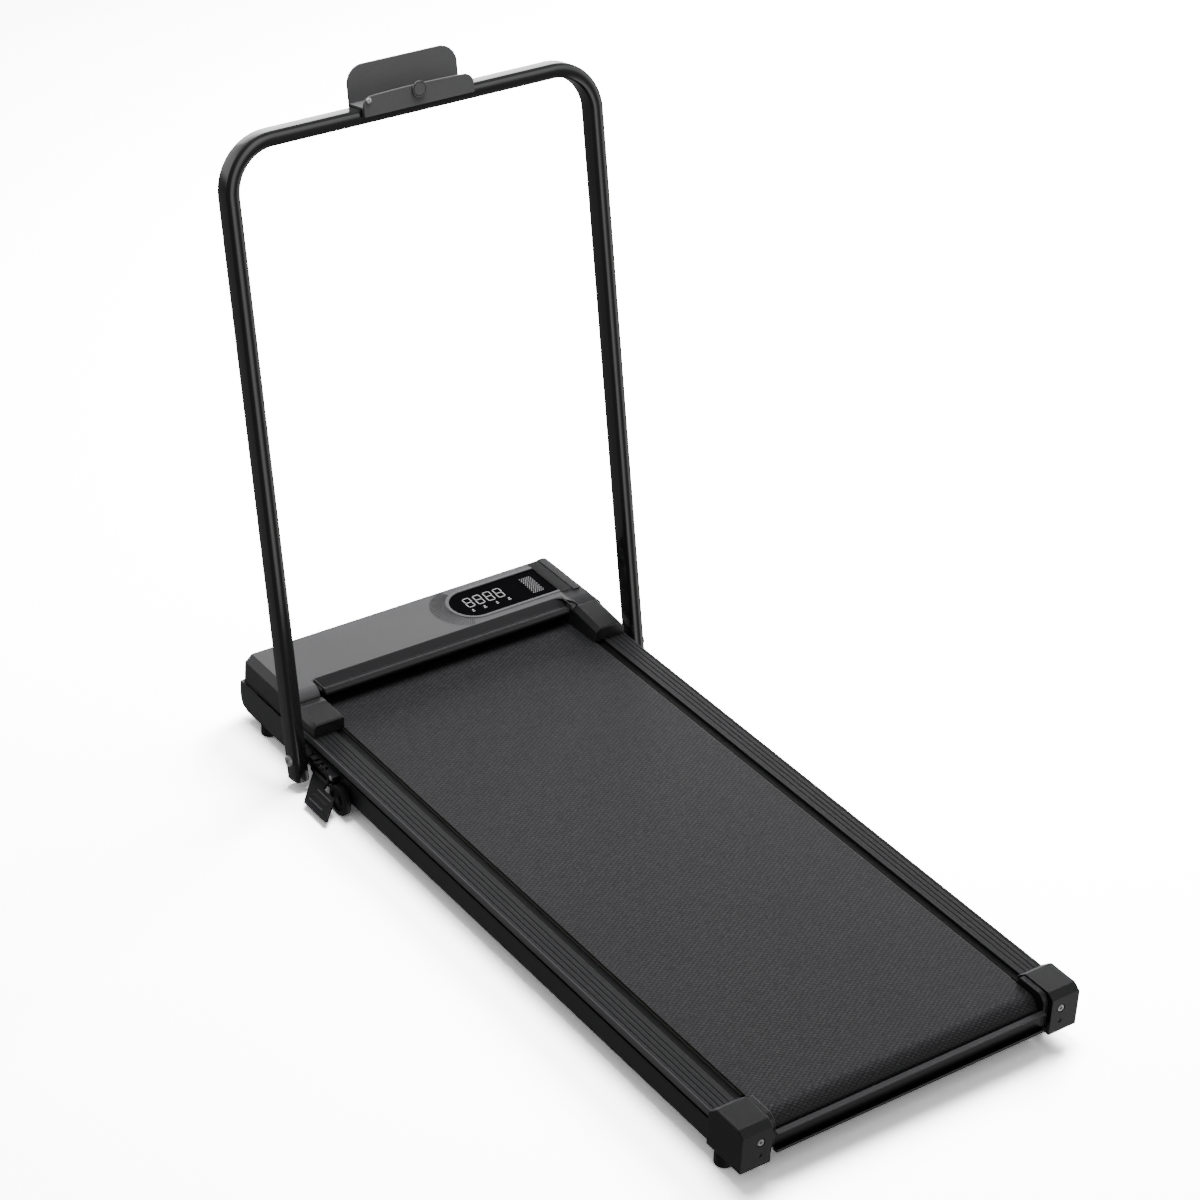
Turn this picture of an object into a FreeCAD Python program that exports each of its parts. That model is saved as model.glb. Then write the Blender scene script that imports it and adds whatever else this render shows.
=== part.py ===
import FreeCAD, Part
import math
import os

from FreeCAD import Vector as V

# Folding walking treadmill: a low belt deck on two side rails, a motor hood across the front and
# a U-shaped handlebar that leans forward and folds back over the deck.
# Building frame: X to the walker's right from the centre plane, Y forward from the rear face of
# the end caps, Z up from the floor, millimetres. Every piece is moved back by ORIGIN_Y when it is
# saved, so the part's origin lies on the floor under the middle of the whole outline.

# ---- driving dimensions -------------------------------------------------------------------
LENGTH = 1156.0          # rear face of the end caps to the nose of the base tray
ORIGIN_Y = 584.7         # middle of the outline, from the end caps to the back of the phone rest
DECK_Z = 70.0            # belt surface and rail tops above the floor
RAIL_OUT = 257.0         # outer face of the side rails
RAIL_STEP = 221.0        # where the ribbed tread steps down to the ledge
RAIL_IN = 211.0          # inner edge of the ledge
CAP_OUT = 260.0          # outer face of the rear end caps
CAP_IN = 207.0           # inner flange of the rear end caps
BOLT_X = 232.0           # tension bolt and screw in the rear caps
BOLT_Z = 57.0
SCREW_Z = 38.0
BELT_HALF = 206.5        # half the width of the running belt
BELT_T = 1.6             # belt thickness
ROLLER_R = 22.0          # bare radius of both rollers
ROLLER_GAP = 0.3         # belt to roller, so that the rollers can turn inside it
REAR_ROLLER_Y = 35.0
FRONT_ROLLER_Y = 1062.0
REAR_HALF = 205.5        # half the length of the rear roller
FRONT_HALF = 208.0       # half the length of the front roller
BEAM_IN = 232.0          # inner face of the side beams
BEAM_LOW = 23.5          # underside of the side beams
BEAM_TOP = 54.4
DECK_T = 15.0            # deck board thickness
DECK_HALF = 209.5        # half the width of the deck board
CROSS_Y = (88.0, 520.0, 985.0)
CROSS_TOP = 48.0         # top of the cross tubes and of the side beams
HOOD_TOP = 101.0         # flat top of the hood
HOOD_OUT = 255.0         # end walls of the hood
HOOD_FRONT = 1146.0
WINDOW_RIGHT = 212.0     # right end of the display window
RING_W = 4.3             # width of the ring round the window
ARM_IN = 201.0           # foot of the right arm's inner wall
ARM_CREST = 214.5        # where that wall's band meets the arm's top
ARM_FOOT = 70.3          # underside of the hood's two arms, just above the rails
CURVE_R = 35.0           # plan radius of the near edge where it meets the right arm
TRAY_OUT = 258.0
TRAY_LOW = 15.0
TRAY_TOP = 57.0
WALL = 2.5               # moulded covers
TUBE_W = 20.0            # handlebar tube, across the walker
TUBE_D = 30.0            # handlebar tube, along the walking direction
TUBE_R = 5.0             # corner radius of the tube
TUBE_WALL = 1.5
BAR_X = 279.3            # centre of the uprights
BAR_LOW = -31.0          # lower end of the uprights, from the pivot along the tube
PLUG = 8.0               # length of the plugs that close the uprights, below the tube
BAR_HIGH = 846.2         # centre of the crossbar, from the pivot along the tube
BEND_R = 65.0            # centreline radius of the handlebar's two corners
LEAN = 11.64             # forward lean of the handlebar, degrees
PIVOT_Y = 968.5
PIVOT_Z = 43.0
BOLT_R = 5.0             # pivot bolt
FIT = 0.05               # radial clearance of a running fit
GAP = 0.3                # clear space between pieces that move past each other
WHEEL_Y = 881.0
WHEEL_R = 22.0
FOOT_Y = (47.0, 1094.0)
FOOT_X = 247.0
FOOT_R = 12.5
AXLE_Z = DECK_Z - BELT_T - ROLLER_GAP - ROLLER_R
BELT_R_IN = ROLLER_R + ROLLER_GAP
AXLE_R = 6.0
PULLEY_X = 222.0         # middle of the drive belt, left of centre
FRONT_PULLEY_R = 24.0    # three turns of the motor to one of the roller
MOTOR_PULLEY_R = 8.0
BEAM_FRONT = 1112.0      # front ends of the side beams
INLET_X = 202.0
SWITCH_X = 235.0
SWITCH_TILT = 7.0        # degrees that the rocker stands off centre at either end
MOTOR_Y = 1118.0
MOTOR_Z = 49.0


# ---- helpers --------------------------------------------------------------------------------
def save(name, shape):
    """Move a finished piece into the part's frame and write it as one STEP."""
    shape = shape.copy()
    shape.translate(V(0, -ORIGIN_Y, 0))
    shape.exportStep("parts/" + name + ".step")


def box(x, y, z):
    """Block between pairs of limits along X, Y and Z."""
    low = V(min(x), min(y), min(z))
    return Part.makeBox(abs(x[1] - x[0]), abs(y[1] - y[0]), abs(z[1] - z[0]), low)


def rod(start, direction, radius, length):
    """Cylinder from a start point along a direction."""
    return Part.makeCylinder(radius, length, V(*start), V(*direction))


def outline(points):
    """Closed wire through the points; a point given as ((mid), (end)) makes an arc."""
    edges = []
    here = V(*points[0])
    for item in points[1:] + [points[0]]:
        if isinstance(item[0], tuple):
            middle, end = V(*item[0]), V(*item[1])
            edges.append(Part.Arc(here, middle, end).toShape())
        else:
            end = V(*item)
            if (end - here).Length < 1e-6:
                continue
            edges.append(Part.LineSegment(here, end).toShape())
        here = end
    return Part.Wire(edges)


def lift(point, axis, level):
    """Place a two-number point on the plane where the given axis has this level."""
    if isinstance(point[0], tuple):
        return tuple(lift(p, axis, level) for p in point)
    numbers = list(point)
    numbers.insert("XYZ".index(axis), level)
    return tuple(numbers)


def prism(points, axis, low, high):
    """Outline in the plane across an axis, carried along that axis from low to high."""
    wire = outline([lift(p, axis, low) for p in points])
    step = [0, 0, 0]
    step["XYZ".index(axis)] = high - low
    return Part.Face(wire).extrude(V(*step))


def mirrored(shape):
    """The same piece on the other side of the centre plane."""
    return shape.mirror(V(0, 0, 0), V(1, 0, 0))


def rounded(x, y, r):
    """Outline points of a rectangle with round corners."""
    x0, x1 = min(x), max(x)
    y0, y1 = min(y), max(y)
    k = r * (1 - math.sqrt(0.5))
    return [
        (x0 + r, y0), (x1 - r, y0), ((x1 - k, y0 + k), (x1, y0 + r)),
        (x1, y1 - r), ((x1 - k, y1 - k), (x1 - r, y1)),
        (x0 + r, y1), ((x0 + k, y1 - k), (x0, y1 - r)),
        (x0, y0 + r), ((x0 + k, y0 + k), (x0 + r, y0)),
    ]


def polar(centre, radius, degrees):
    """Point on a circle, as two numbers."""
    a = math.radians(degrees)
    return (centre[0] + radius * math.cos(a), centre[1] + radius * math.sin(a))


def hex_prism(start, direction, across, length):
    """Hexagonal bar, given its size across flats."""
    radius = across / math.sqrt(3)
    corners = [V(radius * math.cos(math.radians(60 * i)), radius * math.sin(math.radians(60 * i)), 0)
               for i in range(7)]
    bar = Part.Face(Part.makePolygon(corners)).extrude(V(0, 0, length))
    bar.Placement = FreeCAD.Placement(V(*start), FreeCAD.Rotation(V(0, 0, 1), V(*direction)))
    return bar


def leaned(shape):
    """Turn a piece built upright about the pivot into the handlebar's forward lean.

    Upright pieces use X across, Y as depth from the tube's middle plane and Z as the distance
    from the pivot along the tube.
    """
    shape = shape.copy()
    shape.translate(V(0, PIVOT_Y, PIVOT_Z))
    shape.rotate(V(0, PIVOT_Y, PIVOT_Z), V(1, 0, 0), -LEAN)
    return shape


# ---- frame ----------------------------------------------------------------------------------
def side_beam():
    """Steel tube along the deck with a thin upstand that carries the rail cover."""
    length = (9.0, BEAM_FRONT)
    body = prism([(BEAM_IN, BEAM_LOW), (RAIL_OUT, BEAM_LOW), (RAIL_OUT, BEAM_TOP),
                  (RAIL_OUT - 2.5, BEAM_TOP), (RAIL_OUT - 2.5, 48), (BEAM_IN, 48)], "Y", *length)
    hollow = box((BEAM_IN + 2, RAIL_OUT - 2), (length[0] - 1, length[1] + 1), (BEAM_LOW + 2, 46))
    bolt_hole = rod((RAIL_OUT - 2, PIVOT_Y, PIVOT_Z), (1, 0, 0), BOLT_R, 3)
    return body.cut(hollow).cut(bolt_hole)


def cross_tube(y):
    """Rectangular tube between the side beams, inside the belt's loop."""
    outer = box((-BEAM_IN, BEAM_IN), (y - 15, y + 15), (27, CROSS_TOP))
    inner = box((-BEAM_IN - 1, BEAM_IN + 1), (y - 13, y + 13), (29, CROSS_TOP - 2))
    return outer.cut(inner)


def rear_guard():
    """Shallow channel, open to the rear, that closes the gap below the rear roller."""
    outer = box((-CAP_IN, CAP_IN), (0, 8), (30, 59))
    inner = box((-CAP_IN - 1, CAP_IN + 1), (-1, 6.5), (34.5, 57.5))
    return outer.cut(inner)


def rubber_feet():
    """Four turned rubber feet with a domed lower edge, screwed up into the side beams."""
    feet = []
    for y in FOOT_Y:
        low = BEAM_LOW if y < LENGTH / 2 else TRAY_LOW
        foot = rod((FOOT_X, y, 0), (0, 0, 1), FOOT_R, low)
        foot = foot.makeFillet(2.5, [e for e in foot.Edges if e.BoundBox.ZMax < 0.1])
        feet += [foot, mirrored(foot)]
    return Part.makeCompound(feet)


# ---- deck and belt ----------------------------------------------------------------------------
def deck_board():
    """Flat board that the belt slides over, between the two rail covers."""
    top = DECK_Z - BELT_T - ROLLER_GAP
    return box((-DECK_HALF, DECK_HALF), (70, 1012), (top - DECK_T, top))


def deck_cushions():
    """Six rubber pads between the cross tubes and the deck board."""
    top = DECK_Z - BELT_T - ROLLER_GAP - DECK_T
    pads = []
    for y in CROSS_Y:
        pad = box((130, 170), (y - 12, y + 12), (CROSS_TOP, top))
        pads += [pad, mirrored(pad)]
    return Part.makeCompound(pads)


def belt_loop(radius):
    """Solid stadium round both rollers at one radius."""
    low, high = AXLE_Z - radius, AXLE_Z + radius
    rear, front = REAR_ROLLER_Y, FRONT_ROLLER_Y
    return prism([(rear, low), (front, low), ((front + radius, AXLE_Z), (front, high)),
                  (rear, high), ((rear - radius, AXLE_Z), (rear, low))], "X", -BELT_HALF, BELT_HALF)


def running_belt():
    """Endless belt round the two rollers."""
    return belt_loop(BELT_R_IN + BELT_T).cut(belt_loop(BELT_R_IN))


# ---- rollers ------------------------------------------------------------------------------------
def roller_tube(y, half):
    """Steel tube with end plates bored for the bearings."""
    tube = rod((-half, y, AXLE_Z), (1, 0, 0), ROLLER_R, 2 * half)
    tube = tube.cut(rod((-half - 1, y, AXLE_Z), (1, 0, 0), 16.0, 2 * half + 2))
    return tube


def roller_bearings(y, half):
    """Two ball bearings pressed into the roller's ends and running on the fixed axle."""
    rings = []
    for x in (-half, half - 10.0):
        ring = rod((x, y, AXLE_Z), (1, 0, 0), 16.0, 10.0)
        rings.append(ring.cut(rod((x - 1, y, AXLE_Z), (1, 0, 0), AXLE_R + FIT, 12.0)))
    return Part.makeCompound(rings)


def roller_axle(y, half):
    """Fixed steel axle through the roller, held at both side beams."""
    return rod((-half, y, AXLE_Z), (1, 0, 0), AXLE_R, 2 * half)


def grooved_pulley(y, z, radius, bore):
    """Flanged pulley with fine grooves for a ribbed drive belt, turning about X."""
    half = 8.0
    flange = 1.5
    grooves = 4
    pitch = 2 * (half - flange) / grooves
    points = [(-half, bore), (-half, radius + flange), (flange - half, radius + flange)]
    for i in range(grooves):
        start = flange - half + i * pitch
        points += [(start, radius), (start + pitch / 2, radius - 1.5), (start + pitch, radius)]
    points += [(half - flange, radius + flange), (half, radius + flange), (half, bore)]
    wire = outline([(x, r, 0) for x, r in points])
    pulley = Part.Face(wire).revolve(V(0, 0, 0), V(1, 0, 0), 360)
    pulley.translate(V(-PULLEY_X, y, z))
    return pulley


def front_roller_pulley():
    """Large pulley with a collar that meets the front roller's left end."""
    pulley = grooved_pulley(FRONT_ROLLER_Y, AXLE_Z, FRONT_PULLEY_R, AXLE_R + FIT)
    start = (8.0 - PULLEY_X, FRONT_ROLLER_Y, AXLE_Z)
    length = PULLEY_X - 8.0 - FRONT_HALF
    collar = rod(start, (1, 0, 0), 19.0, length).cut(rod(start, (1, 0, 0), AXLE_R + FIT, length))
    return pulley.fuse(collar)


def drive_belt():
    """Ribbed belt round the motor pulley and the front roller's pulley."""
    clear = 0.4
    thick = 2.0

    def loop(extra):
        """Outline of an open belt round two unequal pulleys, grown by an extra radius."""
        big, small = FRONT_PULLEY_R + extra, MOTOR_PULLEY_R + extra
        dy, dz = MOTOR_Y - FRONT_ROLLER_Y, MOTOR_Z - AXLE_Z
        distance = math.hypot(dy, dz)
        along = math.degrees(math.atan2(dz, dy))
        spread = math.degrees(math.acos((big - small) / distance))
        a, b = (FRONT_ROLLER_Y, AXLE_Z), (MOTOR_Y, MOTOR_Z)
        return [polar(a, big, along + spread), (polar(a, big, along + 180), polar(a, big, along - spread)),
                polar(b, small, along - spread),
                (polar(b, small, along), polar(b, small, along + spread))]

    x = (-PULLEY_X - 6.0, -PULLEY_X + 6.0)
    return prism(loop(clear + thick), "X", *x).cut(prism(loop(clear), "X", x[0] - 1, x[1] + 1))


# ---- side rails and end caps ------------------------------------------------------------------
def rail_cover():
    """Extruded foot rail: shallow ribs, a step down to the ledge and legs on the side beam."""
    rib_pitch = 7.2
    rib_low = DECK_Z - 0.8
    skin = DECK_Z - 3.2
    ledge = DECK_Z - 3.0
    points = [(RAIL_OUT, 59), (RAIL_OUT, DECK_Z - 1), (RAIL_OUT - 1, DECK_Z)]
    x = RAIL_OUT - 4
    while x - rib_pitch > RAIL_STEP:
        points += [(x, DECK_Z), (x - 0.8, rib_low), (x - 1.8, rib_low), (x - 2.6, DECK_Z)]
        x -= rib_pitch
    points += [(RAIL_STEP + 0.6, DECK_Z), (RAIL_STEP, DECK_Z - 0.6), (RAIL_STEP, ledge),
               (RAIL_IN, ledge), (RAIL_IN, ledge - 1.8), (BEAM_IN + 1, ledge - 1.8),
               (BEAM_IN + 1, CROSS_TOP), (BEAM_IN + 3, CROSS_TOP), (BEAM_IN + 3, skin),
               (RAIL_OUT - 4.6, skin), (RAIL_OUT - 4.6, CROSS_TOP), (RAIL_OUT - 2.7, CROSS_TOP),
               (RAIL_OUT - 2.7, 59)]
    return prism(points, "Y", 56, 1036)


def end_cap():
    """Moulded cap over the rail's rear end, with a bevelled rear edge and an inner flange."""
    top = DECK_Z + 11.5
    low = 21.5
    rail_top = DECK_Z + GAP
    side = [(0, low), (0, 74), (10, top), (53, top), (66, rail_top), (66, low)]
    body = prism(side, "X", 216, CAP_OUT)
    body = body.makeChamfer(1.2, [e for e in body.Edges if e.BoundBox.XMin > CAP_OUT - 0.1
                                  and e.BoundBox.ZMin > 60])
    flange = [(6, low + 14), (6, 66), ((11, 76), (20, top - 1.5)), (52, top - 1.5),
              (58, rail_top), (58, low + 14)]
    inner = prism(flange, "X", CAP_IN, 214)
    web = prism([(7.5, low + 6), (7.5, 65), (14, top - 4), (50, top - 4), (56, rail_top),
                 (56, low + 6)], "X", 213, 217)
    shell = body.fuse(inner).fuse(web)
    cavity = [(WALL, low + 1.8), (WALL, 73), (11, top - WALL), (51.5, top - WALL), (61, 73),
              (61, rail_top), (67, rail_top), (67, low + 1.8)]
    shell = shell.cut(prism(cavity, "X", 218.5, CAP_OUT - WALL))
    roller_room = prism([(8, low + 8), (8, 60), (20, 74), (48, 75), (54, rail_top), (67, rail_top),
                         (67, low + 8)], "X", CAP_IN + 2.0, 219)
    shell = shell.cut(roller_room)
    shell = shell.cut(box((CAP_IN + 1, CAP_OUT - WALL), (55.5, 67), (low - 1, rail_top)))
    for z, outer in ((BOLT_Z, 8.0), (SCREW_Z, 5.0)):
        shell = shell.fuse(rod((BOLT_X, 0, z), (0, 1, 0), outer, 8.8))
    shell = shell.cut(rod((BOLT_X, -1, BOLT_Z), (0, 1, 0), 6.0, 6.5))
    shell = shell.cut(rod((BOLT_X, -1, BOLT_Z), (0, 1, 0), 2.5, 12.0))
    shell = shell.cut(rod((BOLT_X, -1, SCREW_Z), (0, 1, 0), 2.9, 4.0))
    shell = shell.cut(rod((BOLT_X, -1, SCREW_Z), (0, 1, 0), 1.6, 12.0))
    shell = shell.cut(rod((FOOT_X, FOOT_Y[0], low - 1), (0, 0, 1), FOOT_R + GAP, 4.0))
    shell = shell.cut(rod((CAP_IN - 1, REAR_ROLLER_Y, AXLE_Z), (1, 0, 0), AXLE_R + GAP, 13))
    corner = prism([(CAP_IN - 1, low - 1), (213, low - 1), (CAP_IN - 1, 29)], "Y", -1, 67)
    return shell.cut(corner)


def tension_bolts():
    """Socket-head bolts that set the belt tension, one in each cap's recess."""
    bolts = []
    for side in (-1, 1):
        head = rod((side * BOLT_X, 0.5, BOLT_Z), (0, 1, 0), 4.6, 5.0)
        head = head.cut(hex_prism((side * BOLT_X, 0.4, BOLT_Z), (0, 1, 0), 4.0, 3.0))
        shank = rod((side * BOLT_X, 5.5, BOLT_Z), (0, 1, 0), 2.5, 3.4)
        bolts.append(head.fuse(shank))
    return Part.makeCompound(bolts)


def end_cap_screws():
    """Screws below the tension bolts, sunk in the caps' rear faces."""
    screws = []
    for side in (-1, 1):
        head = rod((side * BOLT_X, 1.0, SCREW_Z), (0, 1, 0), 2.9, 2.0)
        shank = rod((side * BOLT_X, 3.0, SCREW_Z), (0, 1, 0), 1.6, 5.9)
        screws.append(head.fuse(shank))
    return Part.makeCompound(screws)


# ---- hood, tray and display ----------------------------------------------------------------
def hood_block(out, top, front, near, chamfer):
    """Solid hood outline with chamfered top ends, used for the shell and for its hollow."""
    section = [(-out, TRAY_TOP), (out, TRAY_TOP), (out, top - chamfer), (out - chamfer, top),
               (chamfer - out, top), (-out, top - chamfer)]
    block = prism(section, "Y", near, front)
    slope = 3.0
    wedge = prism([(front, top + 1), (front - slope * (top + 1 - TRAY_TOP) / (top - TRAY_TOP), top + 1),
                   (front, TRAY_TOP)], "X", -out - 1, out + 1)
    return block.cut(wedge)


def motor_hood():
    """Hood shell: flat top, chamfered ends, hollowed near edge with a rounded lip over the belt."""
    near = 1020.0
    outer = hood_block(HOOD_OUT, HOOD_TOP, HOOD_FRONT + 3, near, 10.0)
    inner = hood_block(HOOD_OUT - WALL, HOOD_TOP - WALL, HOOD_FRONT + 3 - WALL, near - 5, 10.0)
    shell = outer.cut(inner)
    # The near edge: a hollow between the two rounded shoulders, then the lip.
    shell = shell.cut(box((-204, 204), (near - 1, 1048), (TRAY_TOP - 1, HOOD_TOP + 1)))
    shell = shell.cut(box((-HOOD_OUT - 1, -205), (near - 1, 1046), (TRAY_TOP - 1, HOOD_TOP + 1)))
    shell = shell.cut(box((205, HOOD_OUT + 1), (near - 1, 1046), (TRAY_TOP - 1, HOOD_TOP + 1)))
    apron = prism([(1050, HOOD_TOP), (1048, HOOD_TOP), ((1041, 96), (1037, 92)), (1028, 92),
                   (1028, 89.5), (1038, 89.5), ((1043, 94), (1050, HOOD_TOP - WALL))],
                  "X", -204, 204)
    lip = rod((-203, 1026, 90), (1, 0, 0), 6.0, 406)
    lip = lip.makeFillet(3.0, [e for e in lip.Edges if e.BoundBox.XLength < 0.1])
    shell = shell.fuse(apron).fuse(lip)
    for side in (-1, 1):
        cheek = prism([(1050, HOOD_TOP), (1046, HOOD_TOP), ((1040, 94), (1034, 84)), (1034, 72.5),
                       (1050, 72.5)], "X", side * 203, side * 245)
        shell = shell.fuse(cheek)
    left_shoulder = prism([(1048, HOOD_TOP), (1036, HOOD_TOP), ((1025.4, 96.6), (1021, 86)),
                           (1021, 72.5), (1048, 72.5)], "X", -210, -245)
    right_shoulder = prism([(1050, HOOD_TOP), (1036, HOOD_TOP), ((1028, 100.2), (1019, 98.4)),
                            (1019, ARM_FOOT), (1050, ARM_FOOT)], "X", ARM_IN, HOOD_OUT)
    right_shoulder = right_shoulder.cut(arm_bevels(0, 1000, 1060, HOOD_TOP))
    # The near edge sweeps round into the right shoulder on a wide curve.
    k = CURVE_R * math.sqrt(0.5)
    corner_x, corner_y = ARM_CREST - CURVE_R, 1050 - CURVE_R
    sweep = prism([(corner_x, 1050), ((corner_x + k, corner_y + k), (ARM_CREST, corner_y)),
                   (ARM_CREST, 1050)], "Z", 92, HOOD_TOP)
    sweep = sweep.common(box((0, HOOD_OUT), (1019, 1050), (90, HOOD_TOP)))
    shell = shell.fuse(left_shoulder).fuse(right_shoulder).fuse(sweep)
    ridge = prism([(229, HOOD_TOP - 1), (240, HOOD_TOP - 1), (241, HOOD_TOP + 2), (231, HOOD_TOP + 2)],
                  "Y", 1052, HOOD_FRONT - 1)
    shell = shell.fuse(ridge)
    opening = display_outline(RING_W + 0.2, WINDOW_RIGHT + 0.2)
    shell = shell.cut(prism(opening, "Z", HOOD_TOP - WALL - 1, HOOD_TOP + 1))
    rail_slot = box((RAIL_IN - 4, HOOD_OUT + 1), (near - 1, 1048), (TRAY_TOP - 1, DECK_Z + GAP))
    return shell.cut(rail_slot).cut(mirrored(rail_slot)).removeSplitter()


def display_outline(grow, right):
    """Long window with a round left end, as X and Y points: grown by an amount, cut off at right."""
    x0 = 53.0
    y0, y1 = 1063.0, 1131.0
    radius = (y1 - y0) / 2 + grow
    middle = (y0 + y1) / 2
    left = x0 + (y1 - y0) / 2
    return [(left, y0 - grow), (right, y0 - grow), (right, y1 + grow), (left, y1 + grow),
            ((left - radius, middle), (left, y0 - grow))]


def display_bezel():
    """C-shaped ring round the window, a little above the hood, with a flange under the skin."""
    low = HOOD_TOP - 4.5
    ring = prism(display_outline(RING_W, WINDOW_RIGHT), "Z", low, HOOD_TOP + 0.8)
    flange = prism(display_outline(RING_W + 2.0, WINDOW_RIGHT), "Z", low, HOOD_TOP - WALL)
    opening = prism(display_outline(0.0, WINDOW_RIGHT + 1), "Z", HOOD_TOP - 3.5, HOOD_TOP + 2)
    ledge = prism(display_outline(-2.0, WINDOW_RIGHT + 1), "Z", low - 1, HOOD_TOP)
    return ring.fuse(flange).cut(opening).cut(ledge)


def display_window():
    """Dark glossy window on the ring's ledge, just below the hood's top."""
    return prism(display_outline(-0.1, WINDOW_RIGHT), "Z", HOOD_TOP - 3.5, HOOD_TOP - 1.0)


def display_board():
    """Circuit board with the digit block, held under the window by four posts."""
    board = box((85, 206), (1068, 1126), (HOOD_TOP - 9, HOOD_TOP - 7.4))
    shape = board.fuse(box((100, 160), (1082, 1112), (HOOD_TOP - 7.4, HOOD_TOP - 4)))
    for x in (92, 200):
        for y in (1074, 1120):
            shape = shape.fuse(rod((x, y, HOOD_TOP - 7.4), (0, 0, 1), 2.5, 3.9))
    return shape


def left_rail_block():
    """Stepped block that runs back from the hood along the left rail, with a chamfered outer edge."""
    side = [(963, ARM_FOOT), (963, 88.5), (965, 90), (1006, 92), (1018, 90), (1018, ARM_FOOT)]
    block = prism(side, "X", -207.5, -HOOD_OUT)
    outer = prism([(-256, 82), (-256, 95), (-246, 95)], "Y", 960, 1020)
    inner = prism([(-207, 86), (-207, 94), (-212, 94)], "Y", 960, 1020)
    hollow = box((-210.5, 2.5 - HOOD_OUT), (966, 1019), (DECK_Z, 86))
    return block.cut(outer).cut(inner).cut(hollow)


def arm_bevels(rise, start, end, top):
    """Cutters for the right arm's leaning inner wall, its band and its outer chamfer.

    They are drawn below a top at one level and carried from start to end while they rise.
    """
    inner = [(ARM_IN - 2, top - 45), (ARM_IN, top - 33), (ARM_CREST - 7, top - 6), (ARM_CREST, top),
             (ARM_CREST, top + 5), (ARM_IN - 2, top + 5)]
    outer = [(HOOD_OUT + 1, top - 11), (HOOD_OUT - 10, top), (HOOD_OUT - 10, top + 5),
             (HOOD_OUT + 1, top + 5)]
    cutters = []
    for section in (inner, outer):
        wire = outline([lift(p, "Y", start) for p in section])
        cutters.append(Part.Face(wire).extrude(V(0, end - start, rise)))
    return Part.makeCompound(cutters)


def right_rail_arm():
    """Smooth arm that falls gently from the hood's right shoulder back along the rail."""
    rear, front = 961.0, 1018.5
    low_top, high_top = 92.0, 98.3
    side = [(rear, ARM_FOOT), (rear, low_top - 1.5), (rear + 2, low_top), (front, high_top),
            (front, ARM_FOOT)]
    arm = prism(side, "X", ARM_IN, HOOD_OUT)
    arm = arm.cut(arm_bevels(high_top - low_top, rear, front + 1, low_top))
    hollow = box((ARM_CREST - 1, HOOD_OUT - 3), (rear + 3, front + 1), (DECK_Z, 84))
    return arm.cut(hollow)


def base_tray():
    """Lower cover of the motor bay: floor, front wall with a raked lower edge, and end walls."""
    front = LENGTH
    profile = [(1038, TRAY_LOW), (1136, TRAY_LOW), (1149, 19), (front - 1.5, 28), (front, 38),
               (front, 53), (front - 1.5, TRAY_TOP - 0.2), (1042, TRAY_TOP - 0.2)]
    outer = prism(profile, "X", -TRAY_OUT, TRAY_OUT)
    hollow = [(1030, TRAY_LOW + WALL), (1135, TRAY_LOW + WALL), (1147, 21), (front - 4, 29),
              (front - WALL, 38), (front - WALL, TRAY_TOP + 1), (1030, TRAY_TOP + 1)]
    tray = outer.cut(prism(hollow, "X", -TRAY_OUT + WALL, TRAY_OUT - WALL))
    beam_slot = box((BEAM_IN - GAP, RAIL_OUT + 0.1), (1030, BEAM_FRONT + GAP), (BEAM_LOW, TRAY_TOP + 1))
    tray = tray.cut(beam_slot).cut(mirrored(beam_slot))
    pad = box((BEAM_IN + 2, RAIL_OUT - 2), (1070, BEAM_FRONT - 2), (TRAY_LOW + WALL, BEAM_LOW))
    shelf = box((-HOOD_OUT, HOOD_OUT), (HOOD_FRONT + 3.2, front - 1), (TRAY_TOP - 2.2, TRAY_TOP - 0.2))
    tray = tray.fuse(pad).fuse(mirrored(pad)).fuse(shelf)
    inlet_hole = box((INLET_X - 16, INLET_X + 16), (front - 6, front + 1), (26, 50))
    switch_hole = box((SWITCH_X - 11, SWITCH_X + 11), (front - 6, front + 1), (31, 47))
    return tray.cut(inlet_hole).cut(switch_hole).removeSplitter()


# ---- motor bay --------------------------------------------------------------------------------
def motor_body():
    """Motor can with a smaller front boss, bored for its shaft."""
    can = rod((-190, MOTOR_Y, MOTOR_Z), (1, 0, 0), 26.0, 150)
    can = can.makeFillet(3.0, [e for e in can.Edges if e.BoundBox.XLength < 0.1])
    boss = rod((-198, MOTOR_Y, MOTOR_Z), (1, 0, 0), 12.0, 10)
    return can.fuse(boss).cut(rod((-200, MOTOR_Y, MOTOR_Z), (1, 0, 0), 4.0 + FIT, 165))


def motor_bracket():
    """Cradle that bolts the motor to the tray floor."""
    floor = TRAY_LOW + WALL
    cradle = box((-180, -60), (MOTOR_Y - 24, MOTOR_Y + 15), (floor, floor + 3))
    for x in (-172, -74):
        cradle = cradle.fuse(box((x, x + 6), (MOTOR_Y - 22, MOTOR_Y + 15), (floor + 3, 42)))
    return cradle.cut(rod((-200, MOTOR_Y, MOTOR_Z), (1, 0, 0), 26.0, 165))


def motor_shaft():
    """Motor shaft, standing out at both ends."""
    return rod((-232, MOTOR_Y, MOTOR_Z), (1, 0, 0), 4.0, 216)


def motor_fan():
    """Cooling fan on the shaft's inner end: a hub with eight straight blades."""
    x = -34.0
    fan = rod((x, MOTOR_Y, MOTOR_Z), (1, 0, 0), 9.0, 14)
    for i in range(8):
        blade = box((x, x + 12), (MOTOR_Y - 1, MOTOR_Y + 1), (MOTOR_Z + 7, MOTOR_Z + 23))
        blade.rotate(V(0, MOTOR_Y, MOTOR_Z), V(1, 0, 0), 45 * i)
        fan = fan.fuse(blade)
    return fan.cut(rod((x - 1, MOTOR_Y, MOTOR_Z), (1, 0, 0), 4.0, 17))


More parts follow.
